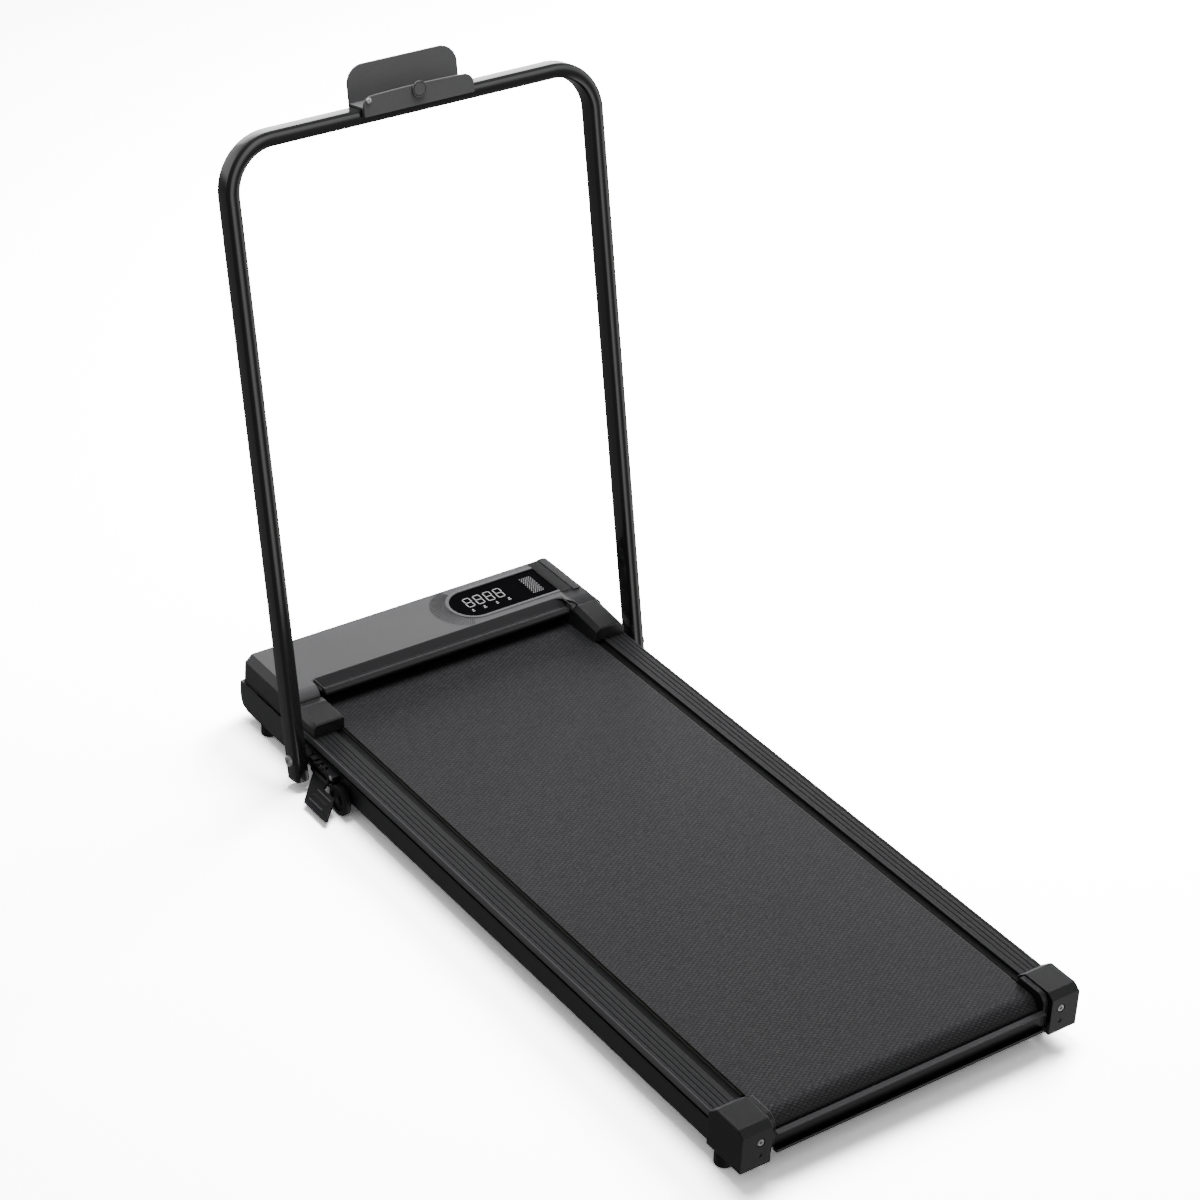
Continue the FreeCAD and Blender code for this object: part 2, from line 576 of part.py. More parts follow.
def controller_box():
    """Closed housing of the motor controller on the tray floor."""
    case = box((20, 170), (1098, 1133), (TRAY_LOW + WALL, 48))
    return case.makeFillet(2.0, [e for e in case.Edges if e.BoundBox.ZLength > 20])


def controller_heatsink():
    """Finned aluminium plate on the controller."""
    plate = box((28, 162), (1100, 1131), (48, 51))
    for i in range(12):
        x = 30 + 11.5 * i
        plate = plate.fuse(box((x, x + 2), (1100, 1131), (51, 66)))
    return plate.removeSplitter()


def power_inlet():
    """Three-pin mains inlet in the tray's front wall."""
    front = LENGTH
    x = INLET_X
    inlet = box((x - 15.7, x + 15.7), (front - 5, front - 0.2), (26.3, 49.7))
    inlet = inlet.fuse(box((x - 14, x + 14), (front - 20, front - 5), (28, 48)))
    inlet = inlet.cut(box((x - 12.5, x + 12.5), (front - 16, front + 1), (30, 46)))
    for across, up in ((-7, 39), (7, 39), (0, 42.5)):
        inlet = inlet.fuse(box((x + across - 1, x + across + 1), (front - 16.5, front - 4), (up - 3, up + 3)))
    return inlet


def switch_housing():
    """Frame of the mains rocker switch, beside the inlet, open at the front."""
    front = LENGTH
    body = box((SWITCH_X - 10.7, SWITCH_X + 10.7), (front - 12, front - 0.2), (31.3, 46.7))
    return body.cut(box((SWITCH_X - 9.4, SWITCH_X + 9.4), (front - 10.5, front + 1), (33, 45)))


def rocker_switch():
    """Rocker of the mains switch: a shallow V, pressed in at its right end."""
    points = [(-8.2, -1.0), (0, -3.0), (8.2, -1.0), (8.2, 3.2), (0, 1.8), (-8.2, 3.2)]
    rocker = prism(points, "Z", 33.4, 44.6)
    rocker.rotate(V(0, 0, 0), V(0, 0, 1), -SWITCH_TILT)
    rocker.translate(V(SWITCH_X, LENGTH - 5.0, 0))
    return rocker


# ---- handlebar ----------------------------------------------------------------------------------
def bar_path(low):
    """Centre line of the U: up the left side, across and down the right."""
    k = BEND_R * (1 - math.sqrt(0.5))
    a, b = V(-BAR_X, 0, low), V(-BAR_X, 0, BAR_HIGH - BEND_R)
    mid_left = V(k - BAR_X, 0, BAR_HIGH - k)
    c, d = V(BEND_R - BAR_X, 0, BAR_HIGH), V(BAR_X - BEND_R, 0, BAR_HIGH)
    mid_right = V(BAR_X - k, 0, BAR_HIGH - k)
    e, f = V(BAR_X, 0, BAR_HIGH - BEND_R), V(BAR_X, 0, low)
    return Part.Wire([Part.LineSegment(a, b).toShape(), Part.Arc(b, mid_left, c).toShape(),
                      Part.LineSegment(c, d).toShape(), Part.Arc(d, mid_right, e).toShape(),
                      Part.LineSegment(e, f).toShape()])


def bar_pipe(low, inset):
    """The U swept with the tube's round-cornered section, inset for its inside."""
    half_w, half_d = TUBE_W / 2 - inset, TUBE_D / 2 - inset
    section = rounded((-BAR_X - half_w, half_w - BAR_X), (-half_d, half_d), TUBE_R - inset)
    profile = outline([lift(p, "Z", low) for p in section])
    return bar_path(low).makePipeShell([profile], True, False)


def handlebar_tube():
    """Bent rectangular tube, bored for the pivot bushes."""
    plug_top = BAR_LOW + PLUG
    tube = bar_pipe(plug_top, 0.0).cut(bar_pipe(plug_top - 1, TUBE_WALL))
    for side in (-1, 1):
        start = side * BAR_X - 15
        tube = tube.cut(rod((start, 0, 0), (1, 0, 0), 7.0, 30))
    return leaned(tube)


def handlebar_plugs():
    """Round-nosed plastic plugs in the lower ends of the uprights."""
    plugs = []
    half_d = TUBE_D / 2
    nose = 6.0
    k = nose * (1 - math.sqrt(0.5))
    bend, top = BAR_LOW + nose, BAR_LOW + PLUG
    for side in (-1, 1):
        x = (side * BAR_X - TUBE_W / 2, side * BAR_X + TUBE_W / 2)
        block = prism(rounded(x, (-half_d, half_d), TUBE_R), "Z", BAR_LOW, BAR_LOW + PLUG)
        curve = prism([(nose - half_d, BAR_LOW), (half_d - nose, BAR_LOW),
                       ((half_d - k, BAR_LOW + k), (half_d, bend)), (half_d, top), (-half_d, top),
                       (-half_d, bend), ((k - half_d, BAR_LOW + k), (nose - half_d, BAR_LOW))],
                      "X", *x)
        inside = rounded((x[0] + TUBE_WALL, x[1] - TUBE_WALL), (TUBE_WALL - half_d, half_d - TUBE_WALL),
                         TUBE_R - TUBE_WALL)
        stem = prism(inside, "Z", BAR_LOW + PLUG, BAR_LOW + PLUG + 8.0)
        plugs.append(block.common(curve).fuse(stem))
    return leaned(Part.makeCompound(plugs))


def pivot_bushes():
    """Plastic bushes through the uprights, running on the pivot bolts."""
    bushes = []
    for side in (-1, 1):
        start = side * BAR_X - TUBE_W / 2
        bush = rod((start, 0, 0), (1, 0, 0), 7.0, TUBE_W)
        bushes.append(bush.cut(rod((start - 1, 0, 0), (1, 0, 0), BOLT_R + FIT, TUBE_W + 2)))
    return leaned(Part.makeCompound(bushes))


def pivot_bracket():
    """Plate and boss on the side beam that carry the handlebar's pivot bolt."""
    plate = box((RAIL_OUT, RAIL_OUT + 3), (EAR_Y[1] + GAP, PIVOT_Y + 30), (BEAM_LOW + 2, BEAM_TOP))
    plate = plate.makeFillet(4.0, [e for e in plate.Edges if e.BoundBox.XLength > 2])
    boss = rod((RAIL_OUT + 3, PIVOT_Y, PIVOT_Z), (1, 0, 0), 13.0, BAR_X - TUBE_W / 2 - GAP - RAIL_OUT - 3)
    hole = rod((RAIL_OUT - 1, PIVOT_Y, PIVOT_Z), (1, 0, 0), BOLT_R, 30)
    return plate.fuse(boss).cut(hole)


def pivot_bolts():
    """Two bolts, each from the beam's outer wall through bracket and upright, with a domed head."""
    bolts = []
    outer = BAR_X + TUBE_W / 2 + GAP
    for side in (-1, 1):
        shank = rod((side * (RAIL_OUT - 2), PIVOT_Y, PIVOT_Z), (side, 0, 0), BOLT_R, outer - RAIL_OUT + 2)
        head = rod((side * outer, PIVOT_Y, PIVOT_Z), (side, 0, 0), 8.0, 4.0)
        head = head.makeFillet(1.8, [e for e in head.Edges if abs(e.BoundBox.XMin) > outer + 3
                                     and abs(e.BoundBox.XMax) > outer + 3])
        head = head.cut(hex_prism((side * (outer + 1.6), PIVOT_Y, PIVOT_Z), (side, 0, 0), 5.0, 3.0))
        bolts.append(shank.fuse(head))
    return Part.makeCompound(bolts)


# ---- phone holder on the crossbar ------------------------------------------------------------
HOLD_HALF = 83.5         # half the holder's width
HOLD_TOP = 51.0          # back plate above the crossbar's top
BAR_TOP = BAR_HIGH + TUBE_W / 2


def holder_tray():
    """Saddle over the crossbar with a tall back plate and a short front wall."""
    x = HOLD_HALF
    far = TUBE_D / 2 + 0.2
    k = 25.0 * (1 - math.sqrt(0.5))
    high = BAR_TOP + HOLD_TOP
    back = prism([(-x, BAR_TOP - 18), (x, BAR_TOP - 18), (x, high - 25), ((x - k, high - k), (x - 25, high)),
                  (25 - x, high), ((k - x, high - k), (-x, high - 25))], "Y", far, far + 3.0)
    floor = box((-x, x), (-far, far), (BAR_TOP + 0.2, BAR_TOP + 3.2))
    front = box((-x, x), (-far - 3, -far), (BAR_TOP - 8, BAR_TOP + 3.2))
    return leaned(back.fuse(floor).fuse(front).removeSplitter())


def holder_lip():
    """Front plate of the holder with a gently arched top edge and round corners."""
    x = HOLD_HALF
    near = -TUBE_D / 2 - 0.2 - 3.0
    r = 13.0
    k = r * (1 - math.sqrt(0.5))
    end = BAR_TOP + 17.0
    low = BAR_TOP - 9.0
    plate = prism([(-x, low), (x, low), (x, end - r), ((x - k, end - k), (x - r, end)),
                   ((0, end + 1.5), (r - x, end)), ((k - x, end - k), (-x, end - r))], "Y", near - 3.2, near)
    return leaned(plate)


def holder_knob():
    """Round screw cover in the middle of the lip, set off by a groove."""
    near = -TUBE_D / 2 - 6.4
    knob = rod((0, near, BAR_TOP + 12), (0, -1, 0), 10.5, 2.6)
    ring = rod((0, near - 1.4, BAR_TOP + 12), (0, -1, 0), 9.4, 2).cut(
        rod((0, near - 1.4, BAR_TOP + 12), (0, -1, 0), 8.4, 2))
    return leaned(knob.cut(ring))


def holder_screw():
    """Pan-head screw at the left end of the lip."""
    near = -TUBE_D / 2 - 6.4
    head = rod((-76, near, BAR_TOP + 12), (0, -1, 0), 3.6, 2.2)
    head = head.makeFillet(1.0, [e for e in head.Edges if e.BoundBox.YMax < near - 2])
    slot = box((-76.5, -75.5), (near - 1.4, near - 3), (BAR_TOP + 7, BAR_TOP + 17))
    return leaned(head.cut(slot))


# ---- foot pedal and transport wheels --------------------------------------------------------
HOUSE_Y = (892.0, 950.0)  # roof of the pedal's housing, over the transport wheel's front edge
EAR_Y = (904.0, 950.0)  # the two ears that hold the pin
EAR_T = 4.0
PEDAL_X = -265.0         # pedal pivot
PEDAL_Z = 32.5
PEDAL_SLOPE = 36.0       # degrees down from level
PIN_R = 2.5


def pedal_bracket():
    """Housing on the left beam: a slotted roof with two ears for the pedal's pin."""
    plate = box((-RAIL_OUT - 2.5, -RAIL_OUT), EAR_Y, (BEAM_LOW + 2, 53))
    roof = box((-268.5, -RAIL_OUT), HOUSE_Y, (45.0, 53))
    shape = plate.fuse(roof.cut(box((-266.0, -RAIL_OUT - 2), (EAR_Y[0] + EAR_T, 946), (44, 50.5))))
    for y in (EAR_Y[0], EAR_Y[1] - EAR_T):
        ear = prism([(-RAIL_OUT - 2, 50), (-268.5, 50), (-268.5, PEDAL_Z),
                     ((-267.5, PEDAL_Z - 2.6), (PEDAL_X, PEDAL_Z - 3.6)),
                     (-RAIL_OUT - 2, PEDAL_Z - 3.6)], "Y", y, y + EAR_T)
        shape = shape.fuse(ear)
    for y in (912, 924, 936):
        shape = shape.cut(box((-270, -RAIL_OUT - 3), (y, y + 6), (49, 54)))
    shape = shape.cut(rod((PEDAL_X, EAR_Y[0] - 1, PEDAL_Z), (0, 1, 0), PIN_R, 60))
    return shape.cut(rod((-270, 898, 49), (1, 0, 0), 1.5, 5.0)).removeSplitter()


def pedal_pin():
    """Steel pin that the pedal turns on."""
    return rod((PEDAL_X, EAR_Y[0], PEDAL_Z), (0, 1, 0), PIN_R, EAR_Y[1] - EAR_Y[0])


def foot_pedal():
    """Ribbed plate that slopes out and down from a hub on the pin, swept back a little."""
    y0, y1 = EAR_Y[0] + EAR_T + GAP, EAR_Y[1] - EAR_T - GAP
    length = 41.0
    shoulder = 9.0
    half = 1.7
    top = PEDAL_Z
    flat = [(0, y0), (shoulder + 1, y0), (shoulder + 1, 880), (length - 3, 862), (length, 864.5),
            (length, 916), (length - 3, 919), (0, y1)]
    plate = prism([(PEDAL_X - u, y) for u, y in flat], "Z", top - half, top + half)
    for u in (16.0, 24.0, 32.0):
        plate = plate.fuse(box((PEDAL_X - u - 1, PEDAL_X - u + 1), (880, 914), (top, top + half + 0.8)))
    for y in (880, 906):
        rib = box((PEDAL_X - 38, PEDAL_X - shoulder - 3), (y, y + 2), (top - half - 1.5, top))
        plate = plate.fuse(rib)
    plate.rotate(V(PEDAL_X, 0, PEDAL_Z), V(0, 1, 0), -PEDAL_SLOPE)
    hub = rod((PEDAL_X, y0, PEDAL_Z), (0, 1, 0), 4.1, y1 - y0)
    bore = rod((PEDAL_X, y0 - 1, PEDAL_Z), (0, 1, 0), PIN_R + FIT, y1 - y0 + 2)
    return hub.fuse(plate).cut(bore)


def pedal_spring():
    """Return spring's coil between the ears, drawn as a sleeve."""
    start = (-262.7, EAR_Y[0] + EAR_T, 43.0)
    length = EAR_Y[1] - EAR_Y[0] - 2 * EAR_T
    return rod(start, (0, 1, 0), 3.0, length).cut(rod(start, (0, 1, 0), 2.0, length))


def pedal_screw():
    """Bright screw in the housing's outer rear corner."""
    return rod((-269.1, 898, 49), (1, 0, 0), 3.4, 0.6).fuse(rod((-268.5, 898, 49), (1, 0, 0), 1.5, 3.0))


def transport_wheel():
    """Small wheel with a rounded rim, a dished outer face and a hub bore."""
    x0, x1 = RAIL_OUT + 1.4, 268.8
    centre = (x0, WHEEL_Y, WHEEL_R + GAP)
    wheel = rod(centre, (1, 0, 0), WHEEL_R, x1 - x0)
    wheel = wheel.makeFillet(2.5, [e for e in wheel.Edges if e.BoundBox.XLength < 0.1])
    start = (x1 - 2, WHEEL_Y, WHEEL_R + GAP)
    dish = rod(start, (1, 0, 0), 15.0, 3).cut(rod(start, (1, 0, 0), 7.0, 3))
    return wheel.cut(dish).cut(rod((x0 - 1, WHEEL_Y, WHEEL_R + GAP), (1, 0, 0), 4.0 + FIT, 20))


def wheel_axles():
    """Stub axles on small plates that are welded to the side beams."""
    axles = []
    for side in (-1, 1):
        plate = box((side * RAIL_OUT, side * (RAIL_OUT + 1)), (WHEEL_Y - 11, WHEEL_Y + 10), (12, 50))
        pin = rod((side * RAIL_OUT, WHEEL_Y, WHEEL_R + GAP), (side, 0, 0), 4.0, 11.8)
        axles.append(plate.fuse(pin))
    return Part.makeCompound(axles)


# ---- build -----------------------------------------------------------------------------------
def build():
    """Write every node."""
    os.makedirs("parts", exist_ok=True)
    nodes = {}
    for name, shape in (("side_beam", side_beam()), ("rail_cover", rail_cover()), ("end_cap", end_cap()),
                        ("pivot_bracket", pivot_bracket()),
                        ("transport_wheel", transport_wheel())):
        nodes[name + "_right"] = shape
        nodes[name + "_left"] = mirrored(shape)
    nodes["rail_block_left"] = left_rail_block()
    nodes["rail_block_right"] = right_rail_arm()
    for place, y in zip(("rear", "middle", "front"), CROSS_Y):
        nodes[place + "_cross_tube"] = cross_tube(y)
    nodes["rear_guard"] = rear_guard()
    nodes["rubber_feet"] = rubber_feet()
    nodes["deck_board"] = deck_board()
    nodes["deck_cushions"] = deck_cushions()
    nodes["running_belt"] = running_belt()
    nodes["rear_roller_tube"] = roller_tube(REAR_ROLLER_Y, REAR_HALF)
    nodes["rear_roller_bearings"] = roller_bearings(REAR_ROLLER_Y, REAR_HALF)
    nodes["rear_roller_axle"] = roller_axle(REAR_ROLLER_Y, BEAM_IN)
    nodes["front_roller_tube"] = roller_tube(FRONT_ROLLER_Y, FRONT_HALF)
    nodes["front_roller_bearings"] = roller_bearings(FRONT_ROLLER_Y, FRONT_HALF)
    nodes["front_roller_axle"] = roller_axle(FRONT_ROLLER_Y, BEAM_IN)
    nodes["front_roller_pulley"] = front_roller_pulley()
    nodes["motor_pulley"] = grooved_pulley(MOTOR_Y, MOTOR_Z, MOTOR_PULLEY_R, 4.0)
    nodes["drive_belt"] = drive_belt()
    nodes["tension_bolts"] = tension_bolts()
    nodes["end_cap_screws"] = end_cap_screws()
    nodes["motor_hood"] = motor_hood()
    nodes["display_bezel"] = display_bezel()
    nodes["display_window"] = display_window()
    nodes["display_board"] = display_board()
    nodes["base_tray"] = base_tray()
    nodes["motor_body"] = motor_body()
    nodes["motor_bracket"] = motor_bracket()
    nodes["motor_shaft"] = motor_shaft()
    nodes["motor_fan"] = motor_fan()
    nodes["controller_box"] = controller_box()
    nodes["controller_heatsink"] = controller_heatsink()
    nodes["power_inlet"] = power_inlet()
    nodes["switch_housing"] = switch_housing()
    nodes["rocker_switch"] = rocker_switch()
    nodes["handlebar_tube"] = handlebar_tube()
    nodes["handlebar_plugs"] = handlebar_plugs()
    nodes["pivot_bushes"] = pivot_bushes()
    nodes["pivot_bolts"] = pivot_bolts()
    nodes["holder_tray"] = holder_tray()
    nodes["holder_lip"] = holder_lip()
    nodes["holder_knob"] = holder_knob()
    nodes["holder_screw"] = holder_screw()
    nodes["pedal_bracket"] = pedal_bracket()
    nodes["pedal_pin"] = pedal_pin()
    nodes["pedal_spring"] = pedal_spring()
    nodes["pedal_screw"] = pedal_screw()
    nodes["foot_pedal"] = foot_pedal()
    nodes["wheel_axles"] = wheel_axles()
    for name, shape in sorted(nodes.items()):
        save(name, shape)
        state = "ok" if shape.isValid() else "NOT VALID"
        print(name, len(shape.Solids), "solids", round(shape.Volume / 1000.0, 2), "cm3", state)


build()
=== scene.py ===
# %% [markdown]
# # A folding walking treadmill
# This is a low belt deck with a motor hood and a handlebar that folds back over the belt. The
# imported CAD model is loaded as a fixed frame, and nothing in it is moved. The whole machine could
# be modelled again here, but then it would drift from the CAD, so this script adds only what
# shows on the real thing: the woven belt, the printed display, fine ribs, and a finish for every
# surface. All lengths are metres: +X is the walker's right, +Y forward and +Z up.

# %% Load the frame
import math

import bmesh
import bpy
import numpy as np
from mathutils import Matrix, Vector


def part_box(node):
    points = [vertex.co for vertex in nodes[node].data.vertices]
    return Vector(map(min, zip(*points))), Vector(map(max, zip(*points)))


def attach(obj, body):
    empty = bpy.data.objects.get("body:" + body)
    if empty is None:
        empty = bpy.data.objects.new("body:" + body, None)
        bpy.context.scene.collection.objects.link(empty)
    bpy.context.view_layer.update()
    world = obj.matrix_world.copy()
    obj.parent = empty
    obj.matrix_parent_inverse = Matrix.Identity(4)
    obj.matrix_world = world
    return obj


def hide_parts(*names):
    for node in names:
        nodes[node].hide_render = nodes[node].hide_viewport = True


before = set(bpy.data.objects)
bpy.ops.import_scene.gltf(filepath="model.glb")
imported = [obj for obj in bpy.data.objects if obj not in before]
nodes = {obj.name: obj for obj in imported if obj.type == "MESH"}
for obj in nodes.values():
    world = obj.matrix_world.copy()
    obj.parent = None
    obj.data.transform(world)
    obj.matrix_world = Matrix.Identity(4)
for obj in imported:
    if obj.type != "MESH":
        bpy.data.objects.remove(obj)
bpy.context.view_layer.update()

MM = 0.001

# %% [markdown]
# ## Places taken from the frame
# The belt, the display and the trim have to sit exactly on CAD pieces. Their places could be
# typed in, but a later change of the CAD would leave them behind, so each is read from a node's
# box at rest.

# %% Measure the belt, the rollers and the window
belt_low, belt_high = [np.array(corner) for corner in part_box("running_belt")]
window_low, window_high = [np.array(corner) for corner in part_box("display_window")]
rear_low, rear_high = [np.array(corner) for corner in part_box("rear_roller_tube")]
front_low, front_high = [np.array(corner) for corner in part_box("front_roller_tube")]
rear_axis = (rear_low + rear_high) / 2
front_axis = (front_low + front_high) / 2
belt_radius = (belt_high[2] - belt_low[2]) / 2
hood_top = window_high[2] + 1.0 * MM
print("belt radius", round(float(belt_radius), 4), "hood top", round(float(hood_top), 4))

# %% [markdown]
# ## Building blocks for meshes
# Moulded and rolled surfaces are smooth sheets. They could be sculpted or built with modifiers,
# but a formula keeps their size exact. A surface is a grid of points `P[i, j]`: neighbouring
# points make quads, and a closed direction joins its last row to its first.

# %% A mesh from a grid of points
def grid_mesh(name, points, close_i=False, close_j=False, uv=None, smooth=True):
    """Object from a grid P[i, j]: face (i, j) joins P[i,j], P[i+1,j], P[i+1,j+1], P[i,j+1]."""
    points = np.asarray(points, dtype=float)
    rows, cols = points.shape[:2]
    index = np.arange(rows * cols).reshape(rows, cols)
    i = np.arange(rows if close_i else rows - 1)
    j = np.arange(cols if close_j else cols - 1)
    i, j = [a.ravel() for a in np.meshgrid(i, j, indexing="ij")]
    i2, j2 = (i + 1) % rows, (j + 1) % cols
    corners = np.stack([index[i, j], index[i2, j], index[i2, j2], index[i, j2]], axis=1)
    mesh = bpy.data.meshes.new(name)
    mesh.from_pydata(points.reshape(-1, 3).tolist(), [], corners.tolist())
    if uv is not None:
        coords = np.asarray(uv, dtype=float).reshape(-1, 2)
        layer = mesh.uv_layers.new(name="flat")
        layer.data.foreach_set("uv", coords[corners.ravel()].ravel())
    mesh.polygons.foreach_set("use_smooth", np.full(len(mesh.polygons), smooth))
    mesh.update()
    obj = bpy.data.objects.new(name, mesh)
    bpy.context.scene.collection.objects.link(obj)
    return obj


# %% [markdown]
# ## Closing and joining
# A swept surface ends in a seam, and a foot ends in a point. Left alone they are small holes for
# a printer, so points that coincide are merged and every face is turned outwards. Small repeated
# shapes, such as dots, are joined so that they are one piece.

# %% Close a surface and join pieces
def closed_up(obj):
    """Merge points that coincide, at seams and poles, then turn every face outwards."""
    shape = bmesh.new()
    shape.from_mesh(obj.data)
    bmesh.ops.remove_doubles(shape, verts=shape.verts, dist=1e-6)
    bmesh.ops.recalc_face_normals(shape, faces=shape.faces)
    shape.to_mesh(obj.data)
    shape.free()
    return obj


def join_meshes(name, parts):
    """One object made of several, in the same place."""
    vertices, faces, smooth = [], [], []
    start = 0
    for part in parts:
        mesh = part.data
        count = len(mesh.vertices)
        flat = np.empty(count * 3)
        mesh.vertices.foreach_get("co", flat)
        vertices.append(flat.reshape(-1, 3))
        faces += [[v + start for v in p.vertices] for p in mesh.polygons]
        smooth += [p.use_smooth for p in mesh.polygons]
        start += count
        bpy.data.objects.remove(part)
    mesh = bpy.data.meshes.new(name)
    mesh.from_pydata(np.concatenate(vertices).tolist(), [], faces)
    mesh.polygons.foreach_set("use_smooth", smooth)
    mesh.update()
    obj = bpy.data.objects.new(name, mesh)
    bpy.context.scene.collection.objects.link(obj)
    return obj


# %% [markdown]
# ## Turned shapes
# Rings and recesses are turned on a lathe. A profile of radius and height, turned about an axis,
# makes the same shape, and its points come from one formula.

# %% A surface of revolution
def turned(name, profile, centre, axis, count=48):
    """Surface of revolution: profile (r, h) gives centre + r (cos a U + sin a W) + h axis."""
    profile = np.array(profile, dtype=float)
    axis = np.array(axis, dtype=float)
    u = np.array([0.0, 0.0, 1.0]) if abs(axis[2]) < 0.9 else np.array([1.0, 0.0, 0.0])
    u = u - axis * np.dot(u, axis)
    u = u / np.linalg.norm(u)
    w = np.cross(axis, u)
    a = np.linspace(0, 2 * np.pi, count, endpoint=False)
    ring = np.cos(a)[:, None] * u + np.sin(a)[:, None] * w
    points = (np.array(centre) + ring[:, None, :] * profile[None, :, 0, None]
              + profile[None, :, 1, None] * axis)
    return grid_mesh(name, points, close_i=True)


# %% [markdown]
# ## Colours and node helpers
# A finish is described with sRGB hex colours, as seen on a screen, while a shader works in linear
# light. The nodes could be linked one by one, but short helpers make every finish readable.

# %% Colours and shader nodes
def linear(hex_colour):
    """sRGB '#rrggbb' to linear: c / 12.92 below 0.04045, else ((c + 0.055) / 1.055) ** 2.4."""
    value = np.array([int(hex_colour[i:i + 2], 16) for i in (1, 3, 5)]) / 255.0
    out = np.where(value <= 0.04045, value / 12.92, ((value + 0.055) / 1.055) ** 2.4)
    return (*out.tolist(), 1.0)


def add(tree, kind, inputs=None, **settings):
    """One shader node: settings are its properties, inputs its sockets, as values or links."""
    node = tree.nodes.new(kind)
    for key, value in settings.items():
        setattr(node, key, value)
    for key, value in (inputs or {}).items():
        socket = node.inputs[key]
        if isinstance(value, bpy.types.NodeSocket):
            tree.links.new(value, socket)
        else:
            socket.default_value = value
    return node


def math_node(tree, operation, a, b=0.0, c=0.0):
    """Output of one arithmetic node."""
    return add(tree, "ShaderNodeMath", {0: a, 1: b, 2: c}, operation=operation).outputs[0]


def new_material(name):
    """Empty material with its shader and output, as (material, tree, shader)."""
    material = bpy.data.materials.new(name)
    material.use_nodes = True
    tree = material.node_tree
    shader = tree.nodes["Principled BSDF"]
    return material, tree, shader


def mixed(tree, factor, low, high):
    """Colour between two, each a value or a link: low (1 - factor) + high factor."""
    inputs = {"Factor": factor, "A": low, "B": high}
    return add(tree, "ShaderNodeMix", inputs, data_type="RGBA").outputs["Result"]


def ranged(tree, value, low, high):
    """A 0 to 1 value stretched to low to high."""
    inputs = {"Value": value, "To Min": low, "To Max": high}
    return add(tree, "ShaderNodeMapRange", inputs).outputs[0]


def noise(tree, place, scale, detail=2.0, roughness=0.5):
    """Cloudy 0 to 1 value with about `scale` blobs to the metre, so each is 1 / scale wide."""
    inputs = {"Vector": place, "Scale": scale, "Detail": detail, "Roughness": roughness}
    return add(tree, "ShaderNodeTexNoise", inputs).outputs[0]


print("grey #808080 is", round(linear("#808080")[0], 3), "in linear light")


# %% [markdown]
# ## Moulded plastic and powder coat
# Moulded covers and powder-coated steel have one colour with slow patchy variation, a fine grain,
# and edges painted paler, partly as wear and partly as a painted highlight. An image could carry
# this, but noise in the object's own coordinates needs no image, has no seams and keeps its true
# size. The pale edge is painted where a rounded normal turns away from the flat one.

# %% A grained finish
def grained(name, dark, pale, rough, grain_mm, depth_mm, edge=0.25,
            edge_mm=0.8, sheen=0.35, painted_shade_zone=None):
    """Grained surface: noise at grain_mm for bump, slow noise for colour, a pale edge of wear and
    painted highlight.

    The last argument, (a, b, c), paints it near-black as painted shade where x > a, and where y < b
    with |x| < c.
    """
    material, tree, shader = new_material(name)
    place = add(tree, "ShaderNodeTexCoord").outputs["Object"]
    slow = noise(tree, place, 14.0, 4.0)
    fine = noise(tree, place, 1000.0 / grain_mm, 3.0, 0.6)
    colour = mixed(tree, slow, linear(dark), linear(pale))
    if painted_shade_zone is not None:
        split = add(tree, "ShaderNodeSeparateXYZ", {0: place})
        beyond = math_node(tree, "GREATER_THAN", split.outputs[0], painted_shade_zone[0])
        near = math_node(tree, "LESS_THAN", split.outputs[1], painted_shade_zone[1])
        outward = math_node(tree, "ABSOLUTE", split.outputs[0])
        inside = math_node(tree, "LESS_THAN", outward, painted_shade_zone[2])
        painted_shade_mask = math_node(tree, "MAXIMUM", beyond, math_node(tree, "MULTIPLY", near, inside))
        # Painted shade: near-black on the hood's far right end and on its wall that faces the belt.
        colour = mixed(tree, painted_shade_mask, colour, linear("#1a1a1b"))
    soft = add(tree, "ShaderNodeBevel", {"Radius": edge_mm * MM}, samples=4)
    flat = add(tree, "ShaderNodeNewGeometry").outputs["Normal"]
    turn = add(tree, "ShaderNodeVectorMath", {0: soft.outputs[0], 1: flat}, operation="DOT_PRODUCT")
    # Pale edges, partly wear and partly painted highlight, where the rounded normal turns away.
    edge_highlight_and_wear = ranged(tree, math_node(tree, "SUBTRACT", 1.0, turn.outputs["Value"]), 0.0, edge * 4)
    edge_highlight_and_wear = math_node(tree, "MULTIPLY", edge_highlight_and_wear, fine)
    colour = mixed(tree, edge_highlight_and_wear, colour, linear("#7a7a7a"))
    tree.links.new(colour, shader.inputs["Base Color"])
    roughness = ranged(tree, fine, rough - 0.06, rough + 0.08)
    tree.links.new(roughness, shader.inputs["Roughness"])
    bump = add(tree, "ShaderNodeBump", {"Height": fine, "Distance": depth_mm * MM, "Strength": 0.6,
                                        "Normal": soft.outputs[0]})
    tree.links.new(bump.outputs[0], shader.inputs["Normal"])
    shader.inputs["Specular IOR Level"].default_value = sheen
    return material


# %% [markdown]
# ## The moulded and coated finishes
# The machine has a dozen near-black surfaces, and the eye tells them apart by small steps in tone
# and in sheen. One dark material on everything would look like one lump, so each surface starts
# from what it really is. The numbers are roughness, grain size and grain depth in millimetres.

# %% Plastics, coats and rubbers
# Moulded ABS with a fine eroded grain: an even mid grey with a soft sheen. The hood's far right end
# and the curved wall that faces the belt are painted near-black as painted shade, where less light
# falls.
hood_plastic = grained("hood_plastic", "#363637", "#3c3c3d", 0.46, 0.9, 0.05, sheen=0.3,
                       painted_shade_zone=(0.2116, 0.4632, 0.2065))
